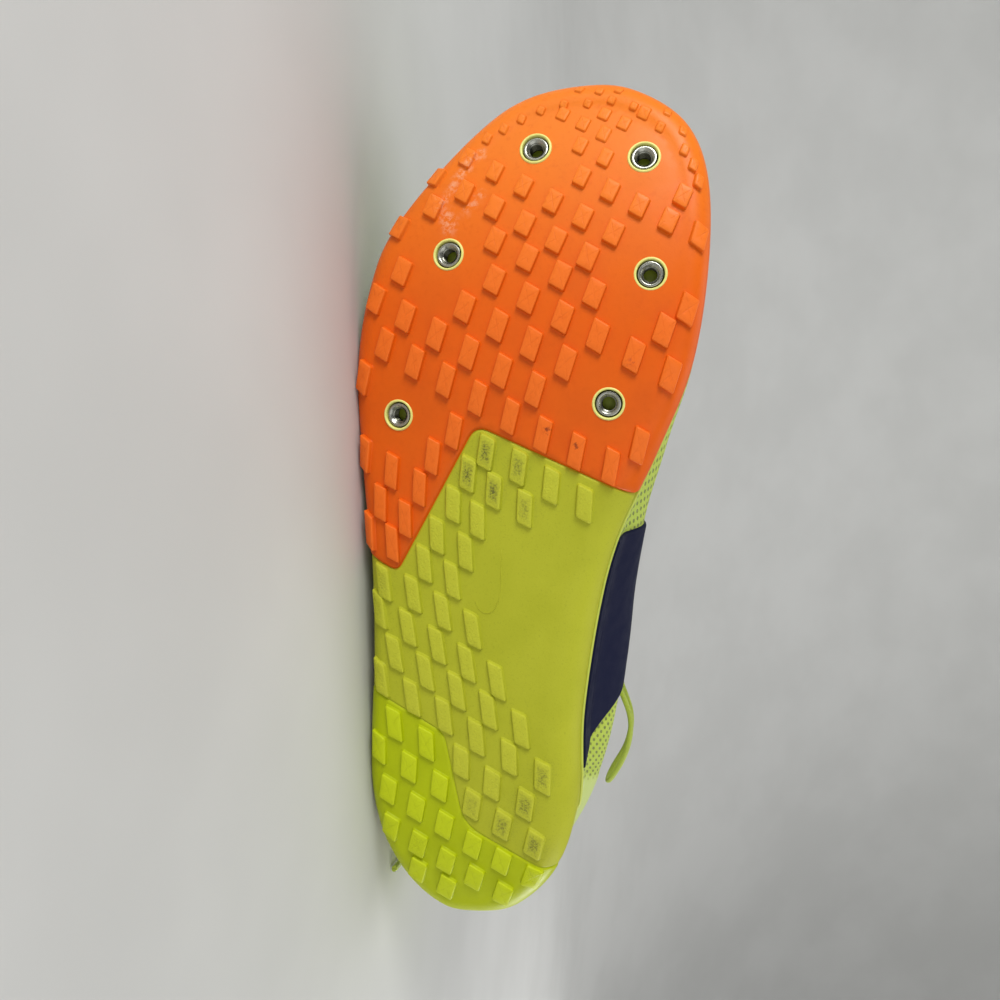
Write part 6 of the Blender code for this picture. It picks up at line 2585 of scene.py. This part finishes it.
@dataclass
class Tongue:
    """Padded tongue under the throat."""

    last: Last
    across: int = 8
    clear: float = 1.0
    crown: float = 2.0
    throat_half: float = 13.0
    end_round: float = 11.0
    middle_y: float = 2.5
    thick: float = 3.2
    quilt_deep: float = 0.22
    channels: int = 17
    levels: tuple[float, ...] = (0.0, 0.15, 0.33, 0.54, 0.77, 1.0)
    cloth: ClothFinish = ClothFinish("tongue_cloth", (0.50, 0.62, 0.05), (0.22, 0.28, 0.02), 1.3, 1.3, 0.5,
                                     0.85, 0.22)

    def throat(self, x: float) -> tuple[float, float]:
        """Half width and height of the throat at a station.

        Args:
            x: place along the shoe.

        Returns:
            Both sizes.
        """
        medial = self.last.upper(np.linspace(6.0, 15.0, 300), 1.0)
        lateral = self.last.upper(np.linspace(15.0, 24.0, 300), 1.0)
        med = [float(np.interp(x, medial[:, 0], medial[:, k])) for k in (1, 2)]
        lat = [float(np.interp(-x, -lateral[:, 0], lateral[:, k])) for k in (1, 2)]
        return max((med[0] - lat[0]) / 2, 4.0), (med[1] + lat[1]) / 2

    def grid(self) -> Array:
        """Top face of the tongue: under the wall of the upper, crowned across the throat.

        Returns:
            Points by row and column.
        """
        spots = self.last.spots(25)
        rings = []
        for t in self.levels:
            rings.append(self.last.upper(spots, t) - self.last.wall * self.last.upper_normal(spots, t))
        inner = ray_net(np.array(rings), True)
        side = np.linspace(-1.0, 1.0, self.across + 1)
        grid = []
        for row in TONGUE:
            reach = max(row.x, 112.0)
            half, height = self.throat(reach)
            crown = self.crown * min(half / self.throat_half, 1.0) ** 3
            line = []
            for v in side:
                y = self.middle_y + v * row.half
                hit = inner.ray_cast(Vector((reach, y, 45.0)), Vector((0, 0, 1)))[0]
                if hit is None:
                    arch = 1.0 - min(abs((y - self.middle_y) / half), 1.0) ** 2
                    line.append(height - self.clear - self.last.wall + crown * arch)
                else:
                    line.append(hit.z - self.clear)
            ys = self.middle_y + side * row.half
            grid.append(np.column_stack([np.full(len(side), row.x), ys, np.array(line) + row.rise]))
        return np.array(grid)

    def fine_grid(self, rows: int, cols: int) -> Array:
        """The same face through more points.

        Args:
            rows: rows of points.
            cols: points in a row.

        Returns:
            Points by row and column.
        """
        grid = self.grid()
        knots = np.arange(len(grid), dtype=float)
        tall = hermite(knots, grid.reshape(len(grid), -1), np.linspace(0, len(grid) - 1, rows))
        tall = tall.reshape(rows, -1, 3)
        side = np.linspace(0.0, self.across, cols)
        return np.array([hermite(np.arange(self.across + 1.0), line, side) for line in tall])

    def build(self) -> Thing:
        """Builds the piece.

        Returns:
            The piece.
        """
        rows, cols = 90, 41
        top = self.fine_grid(rows, cols)
        run = run_along(top[:, cols // 2])
        near = 1 - np.clip((run[-1] - run) / self.end_round, 0, 1)
        top[..., 1] = self.middle_y + (top[..., 1] - self.middle_y) * np.sqrt(1 - 0.97 * near**2)[:, None]
        r = np.abs(np.linspace(-1, 1, rows))[:, None]
        c = np.abs(np.linspace(-1, 1, cols))[None]
        swell = np.sqrt(np.clip(1 - r**30, 0, 1)) * np.sqrt(np.clip(1 - c**10, 0, 1))
        quilt = self.quilt_deep * np.cos(np.linspace(0, 2 * self.channels * math.pi, rows))[:, None]
        quilt = quilt * ease(1 - c, 0.12, 0.4)
        middle = top - np.array([0.0, 0.0, self.thick / 2])
        lift = (self.thick / 2) * swell
        high = middle + np.array([0.0, 0.0, 1.0]) * (lift + quilt * swell - self.quilt_deep)[..., None]
        low = middle - np.array([0.0, 0.0, 1.0]) * lift[..., None]
        uv = np.stack([top[..., 1], np.repeat(run[:, None], cols, axis=1)], axis=2)
        shape = Shape()
        shape.grid(high, uv=uv)
        shape.grid(low, uv=uv)
        thing = shape.made("tongue_pad", self.last, [self.cloth.material()], 60.0)
        return settled(thing, Slot.MESH, "tongue")


@dataclass
class Insole:
    """Sock liner on the bed."""

    last: Last
    half: int = 90
    step_in: float = 3.4
    dish: float = 1.5
    thick: float = 3.0
    cloth: ClothFinish = ClothFinish("sock_liner", (0.47, 0.57, 0.10), (0.33, 0.41, 0.06), 1.0, 1.0, 0.3,
                                     0.9, 0.1)

    def build(self) -> Thing:
        """Builds the piece.

        Returns:
            The piece.
        """
        spots = self.last.spots(self.half)
        rim = self.last.bite(spots, self.step_in)
        rim[:, 2] += self.last.gap
        count = len(spots)
        pair = (count - np.arange(count)) % count
        middle = (rim + rim[pair]) / 2
        lower = []
        upper = []
        for s in np.linspace(0.0, 1.0, 10):
            row = rim + s * (middle - rim)
            row[:, 2] -= self.dish * ease(s, 0.0, 0.8) * np.abs(rim[:, 1] - middle[:, 1]) / 45.0
            soft = np.array([0.0, 0.0, self.thick * (0.72 + 0.28 * ease(s, 0.0, 0.05))])
            lower.append(row)
            upper.append(row + soft)
        stack = np.array(lower[::-1] + upper)
        uv = np.zeros((len(stack), count + 1, 2))
        uv[:, :-1] = stack[..., :2]
        uv[:, -1] = stack[:, 0, :2]
        shape = Shape()
        shape.grid(stack, wrap=True, uv=uv)
        thing = shape.made("sock_liner", self.last, [self.cloth.material()], 60.0)
        return settled(thing, Slot.LINING, "insole")


@dataclass
class Lacing:
    """Woven lace: crossings over the throat, the knot, and the bow's loops and ends."""

    last: Last
    upper: Upper
    tongue: Tongue
    wide: float = 3.2
    thick: float = 1.5
    clear: float = 1.25
    cord_r: float = 1.4
    cord_wide: float = 2.4
    cord_thick: float = 1.9
    cord_step: float = 1.6
    soften: int = 4
    tip_r: float = 5.4
    aglet_long: float = 10.5
    knot_half: Point = (3.3, 6.7, 2.5)
    dive: tuple[float, ...] = (4.0, 2.6, 1.2, -0.3)
    cloth: ClothFinish = ClothFinish("lace_weave", (0.56, 0.69, 0.06), (0.30, 0.38, 0.03), 0.9, 1.1, 0.9,
                                     0.75, 0.2)
    aglet: FilmFinish = FilmFinish("aglet_plastic", (0.62, 0.72, 0.22), (0.5, 0.58, 0.15), 0.25, 0.4)

    def above_floor(self, point: Array) -> Array:
        """The point, lifted to rest on the floor where it would be below it.

        Args:
            point: point in the shoe frame.

        Returns:
            The new point.
        """
        turn = self.last.turn[2]
        floor = self.cord_r * 1.08 - self.last.shift[2] / MM
        lowest = (floor - turn[0] * point[0] - turn[2] * point[2]) / turn[1]
        return np.array([point[0], max(point[1], lowest), point[2]])

    def path(self, rows: Sequence[Point], loop: bool) -> Array:
        """Smooth path through rows, evenly stepped, kept on or above the floor.

        Args:
            rows: points of the lace from the knot outwards.
            loop: whether it turns back on itself.

        Returns:
            Points in the shoe frame.
        """
        spots = np.array([self.above_floor(np.array(row)) for row in rows])
        line = smoothed(spots, max(20, round(run_along(spots)[-1] / self.cord_step)) + 1)
        if loop:
            line = stepped(turned_back(line, self.tip_r), self.cord_step)
        for _ in range(self.soften):
            line[1:-1] += 0.25 * (line[:-2] + line[2:] - 2 * line[1:-1])
        return np.array([self.above_floor(p) for p in line])

    def build_bow(self, paint: Paint) -> list[Thing]:
        """Args:
            paint: material of the lace.

        Returns:
            All pieces.
        """
        knot = self.knot(paint)
        pieces = [knot]
        for name, rows, loop in (("lace_loop_medial", LACE_LOOP_MEDIAL, True),
                                 ("lace_loop_lateral", LACE_LOOP_LATERAL, True),
                                 ("lace_end_heel", LACE_END_HEEL, False),
                                 ("lace_end_toe", LACE_END_TOE, False)):
            path = self.path(rows, loop)
            shape = Shape()
            tube(shape, path, self.cord_wide, self.cord_thick, 12)
            thing = settled(shape.made(name + "_cord", self.last, [paint], 60.0), Slot.LACE, name)
            tips = [] if loop else [self.tip(name, path)]
            self.declare(path)
            pieces += [thing, *tips]
        return pieces

    def declare(self, path: Array) -> None:
        """Works out the scene points of one free lace's centre line; nothing further is done with them.

        Args:
            path: its centre line in the shoe frame.
        """
        line = self.last.world(path)

    def tip(self, name: str, path: Array) -> Thing:
        """Rounded aglet over the end of a lace.

        Args:
            name: name of the lace.
            path: its centre line.

        Returns:
            The piece.
        """
        end = run_along(path)[-1]
        at = np.concatenate([np.linspace(end - self.aglet_long, end - 0.6, 16),
                             end - np.array([0.4, 0.2, 0.05, 0.0])])
        line = points_at(path, at)
        size = np.concatenate([[1.02, 1.05], np.full(13, 1.06), [1.04, 0.98, 0.86, 0.6, 0.3]])
        shape = Shape()
        tube(shape, line, size * (self.cord_wide - 0.25), size * (self.cord_thick + 0.35), 16)
        thing = shape.made(name + "_aglet", self.last, [self.aglet.material()], 50.0)
        return settled(thing, Slot.LACE)

    def knot(self, paint: Paint) -> Thing:
        """Tight knot of two turns on the top tie.

        Args:
            paint: material of the lace.

        Returns:
            The piece.
        """
        low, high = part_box("lace_knot")
        centre = (np.array(low) + np.array(high)) / 2
        centre = (centre - np.array(self.last.shift)) @ self.last.turn / MM
        half = np.array(self.knot_half)
        shape = Shape()
        s = np.linspace(0.0, 2 * math.pi, 97)[:-1]
        curl = [np.cos(s) - 2 * np.cos(2 * s), np.sin(s) + 2 * np.sin(2 * s), -np.sin(3 * s)]
        curl = np.stack(curl, axis=1) / np.array([3.0, 3.0, 1.0])
        tube(shape, closed(centre + curl * half), 2.7, 2.2, 12, np.array((0.0, 0.0, 1.0)))
        band = np.stack([np.cos(s), 0.22 * np.sin(s), np.sin(s)], axis=1)
        band = band * (half * np.array([0.98, 0.4, 1.0]))
        tube(shape, closed(centre + band), 3.0, 2.0, 12, np.array((0.0, 1.0, 0.0)))
        return settled(shape.made("lace_knot_turns", self.last, [paint], 70.0), Slot.LACE, "lace_knot")

    def ground(self, trees: Sequence[BVHTree], x: float, y: float) -> float:
        """Height of the highest surface under the lace's own width at a plan point.

        Args:
            trees: surfaces to search.
            x: plan place along the shoe.
            y: plan place across the shoe.

        Returns:
            The height, or 0 where there is none.
        """
        best = 0.0
        for tree in trees:
            for dx, dy in ((0, 0), (-1.6, 0), (1.6, 0), (0, -1.6), (0, 1.6)):
                hit = tree.ray_cast(Vector((x + dx, y + dy, 160.0)), Vector((0, 0, -1)))[0]
                if hit is not None:
                    best = max(best, hit.z)
        return best

    def build_bars(self, paint: Paint) -> Thing:
        """Builds the crossings, the front bar and the top tie.

        Args:
            paint: material of the lace.

        Returns:
            The piece.
        """
        trees = (ray_net(self.upper.outer()[20:], True), ray_net(self.tongue.fine_grid(60, 25), False))
        level = np.array([self.last.eyelet_t])
        ends = []
        downs = []
        for pair in self.last.eyelets():
            ends.append([self.upper.on(np.array([s]), level, 0.0)[0] for s in pair])
            downs.append([self.last.upper_normal(np.array([s]), level)[0] for s in pair])
        shape = Shape()
        front = len(ends) - 1
        runs = [(k, 0, k + 1, 1, 0.0) for k in range(front)] + [(k, 1, k + 1, 0, 0.9) for k in range(front)]
        runs += [(front, 0, front, 1, 0.5), (0, 0, 0, 1, 0.6)]
        for i, a, j, b, extra in runs:
            start, end = ends[i][a], ends[j][b]
            share = np.linspace(0.0, 1.0, 33)
            plan = start[None, :2] + (end - start)[None, :2] * share[:, None]
            ground = np.array([self.ground(trees, x, y) for x, y in plan])
            line = pulled_taut(share, ground) + self.clear + extra * np.sin(math.pi * share)
            over_line = np.column_stack([plan, line])[3:-3]
            dive_a = np.array([start - downs[i][a] * deep for deep in self.dive])
            dive_b = np.array([end - downs[j][b] * deep for deep in self.dive])
            path = smoothed(np.concatenate([dive_a, over_line[::2], dive_b[::-1]]), 70)
            tube(shape, path, self.wide, self.thick, 12, np.cross(end - start, (0.0, 0.0, 1.0)))
        return settled(shape.made("lace_crossings", self.last, [paint], 60.0), Slot.LACE, "lace_bars")


def turned_back(line: Array, radius: float) -> Array:
    """Chain whose sharpest turn is opened into a half circle.

    Args:
        line: points of the chain.
        radius: least radius of the turn.

    Returns:
        The new chain.
    """
    bend = np.linalg.norm(line[4:] + line[:-4] - 2 * line[2:-2], axis=1)
    bend[:8] = 0.0
    bend[-8:] = 0.0
    tip = int(np.argmax(bend)) + 2
    reach = 2
    while np.linalg.norm(line[tip - reach] - line[tip + reach]) < 2 * radius:
        reach += 1
    middle = (line[tip - reach] + line[tip + reach]) / 2
    half = (line[tip - reach] - line[tip + reach]) / 2
    size = np.linalg.norm(half)
    ahead = line[tip] - middle
    ahead = unit(ahead - half * (ahead @ half) / size**2)
    angles = np.linspace(0.0, math.pi, 13)[:, None]
    arc = middle + half * np.cos(angles) + ahead * size * np.sin(angles)
    return np.concatenate([line[:tip - reach], arc, line[tip + reach + 1:]])


def pulled_taut(run: Array, ground: Array) -> Array:
    """Lowest line over the ground that never bends upwards.

    Args:
        run: rising places.
        ground: heights at those places.

    Returns:
        Heights of the line.
    """
    keep: list[int] = []
    for k in range(len(run)):
        while len(keep) > 1:
            i, j = keep[-2], keep[-1]
            if (ground[j] - ground[i]) * (run[k] - run[i]) > (ground[k] - ground[i]) * (run[j] - run[i]):
                break
            keep.pop()
        keep.append(k)
    return np.interp(run, run[keep], ground[keep])


@dataclass
class Studio:
    """Camera at the photograph's angle, pale floor swept up into a backdrop, and soft light."""

    last: Last
    eye: Point = (215.15, 68.66, -272.7)
    lean_deg: float = 11.0
    tilt_deg: float = 7.2
    aim: tuple[float, float] = (-0.244, 0.0085)
    focal: float = 0.930
    sensor: float = 36.0
    sweep_y: float = 0.5
    sweep_r: float = 0.6
    sweep_half: float = 3.0

    def build(self) -> None:
        """Builds everything round the shoe."""
        self.camera()
        self.backdrop()
        self.lights()

    def camera(self) -> None:
        """Sets the camera."""
        lean, tilt = math.radians(self.lean_deg), math.radians(self.tilt_deg)
        look = np.array((-math.sin(lean), 0.0, math.cos(lean)))
        up = np.array((math.cos(lean), 0.0, math.sin(lean)))
        right = np.array((0.0, 1.0, 0.0))
        up, right = math.cos(tilt) * up - math.sin(tilt) * right, math.cos(tilt) * right + math.sin(tilt) * up
        look = unit(look + self.aim[0] * right + self.aim[1] * up)
        right = unit(right - look * (right @ look))
        columns = [self.last.way(v) for v in (right, np.cross(-look, right), -look)]
        data = bpy.data.cameras.new("camera")
        data.sensor_width = self.sensor
        data.lens = self.sensor * self.focal
        data.clip_start = 0.01
        thing = bpy.data.objects.new("camera", data)
        turn = Matrix([[float(c[k]) for c in columns] for k in range(3)]).to_4x4()
        thing.matrix_world = Matrix.Translation(Vector(self.last.world(np.array(self.eye)))) @ turn
        bpy.context.scene.collection.objects.link(thing)
        bpy.context.scene.camera = thing

    def backdrop(self) -> None:
        """Sets the floor and the wall behind as one sweep."""
        half, radius = self.sweep_half, self.sweep_r
        profile = [(-half, 0.0), (-1.0, 0.0), (self.sweep_y, 0.0)]
        for k in range(1, 17):
            angle = k / 16 * math.pi / 2
            profile.append((self.sweep_y + radius * math.sin(angle), radius - radius * math.cos(angle)))
        profile.append((self.sweep_y + radius, half))
        verts = [(x, y, z) for x in (-half, half) for y, z in profile]
        count = len(profile)
        faces = [(k, k + 1, count + k + 1, count + k) for k in range(count - 1)]
        mesh = bpy.data.meshes.new("studio_sweep")
        mesh.from_pydata(verts, [], faces)
        mesh.polygons.foreach_set("use_smooth", np.ones(len(faces), bool))
        shade = Shade("studio_paper")
        cloud = shade.step(shade.noise(120.0, 3.0), 0.3, 0.7)
        shade.set(Base_Color=shade.blend(cloud, (0.56, 0.56, 0.54), (0.60, 0.60, 0.58)), Roughness=0.85,
                  Normal=shade.bump(shade.noise(1.5, 2.0), 0.02))
        mesh.materials.append(shade.material)
        linked("studio_sweep", mesh)

    def lights(self) -> None:
        """Sets soft lights: one large from the toe side, a fill from the front, one from above."""
        rows = [("key", (-1.0, -0.62, 0.40), 0.6, 11.0), ("fill", (0.35, -1.1, 0.55), 1.2, 3.6),
                ("top", (0.1, 0.25, 1.5), 1.4, 8.0), ("low", (0.85, 0.02, 0.22), 0.4, 3.6)]
        for name, place, size, power in rows:
            data = bpy.data.lights.new(name, "AREA")
            data.shape = "DISK"
            data.size = size
            data.energy = power
            thing = bpy.data.objects.new(name, data)
            thing.location = place
            aim = Vector((0.0, 0.0, 0.05)) - Vector(place)
            thing.rotation_euler = aim.to_track_quat("-Z", "Y").to_euler()
            bpy.context.scene.collection.objects.link(thing)
        world = bpy.data.worlds.new("studio_air")
        world.use_nodes = True
        world.node_tree.nodes["Background"].inputs[0].default_value = (0.86, 0.88, 0.9, 1.0)
        world.node_tree.nodes["Background"].inputs[1].default_value = 0.22
        bpy.context.scene.world = world
        bpy.context.scene.view_settings.view_transform = "Standard"


def main() -> None:
    """Builds the shoe round its frame, in order."""
    logging.basicConfig(level=logging.INFO, format="%(message)s")
    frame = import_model()
    last = Last()
    Studio(last).build()
    scatter = Scatter("set_on_points")
    upper = Upper(last)
    tongue = Tongue(last)
    lacing = Lacing(last, upper, tongue)
    lace = lacing.cloth.material()
    lacing.build_bow(lace)
    lacing.build_bars(lace)
    floor = Underside(last)
    LOG.info("underside net: %d points, %d faces", len(floor.points), len(floor.faces))
    lugs = LugField(floor)
    Midsole(last, floor, lugs).build()
    RubberPiece(last, floor, lugs, "forefoot_plate", "outsole_forefoot", Slot.ORANGE, Zone.PLATE,
                floor.plate_rise, FOREFOOT_RUBBER, nicks=PLATE_NICKS, stains=PLATE_STAINS).build()
    RubberPiece(last, floor, lugs, "heel_pod", "outsole_heel", Slot.LIME, Zone.POD, floor.pod_rise,
                HEEL_RUBBER, grime=POD_GRIME).build()
    SpikeSeats(last, frame["record"]).build(scatter)
    upper.build(scatter)
    film = SidePanel.finish.material()
    SidePanel(last, upper, Side.MEDIAL, first=5.0, final=8.6, back_low=61.0, back_high=112.0,
              front_high=147.0, front_low=145.0).build(film)
    SidePanel(last, upper, Side.LATERAL, first=21.0, final=24.6, back_low=68.0, back_high=112.0,
              front_high=134.0, front_low=140.0).build(film)
    tongue.build()
    Insole(last).build()


if __name__ == "__main__":
    main()
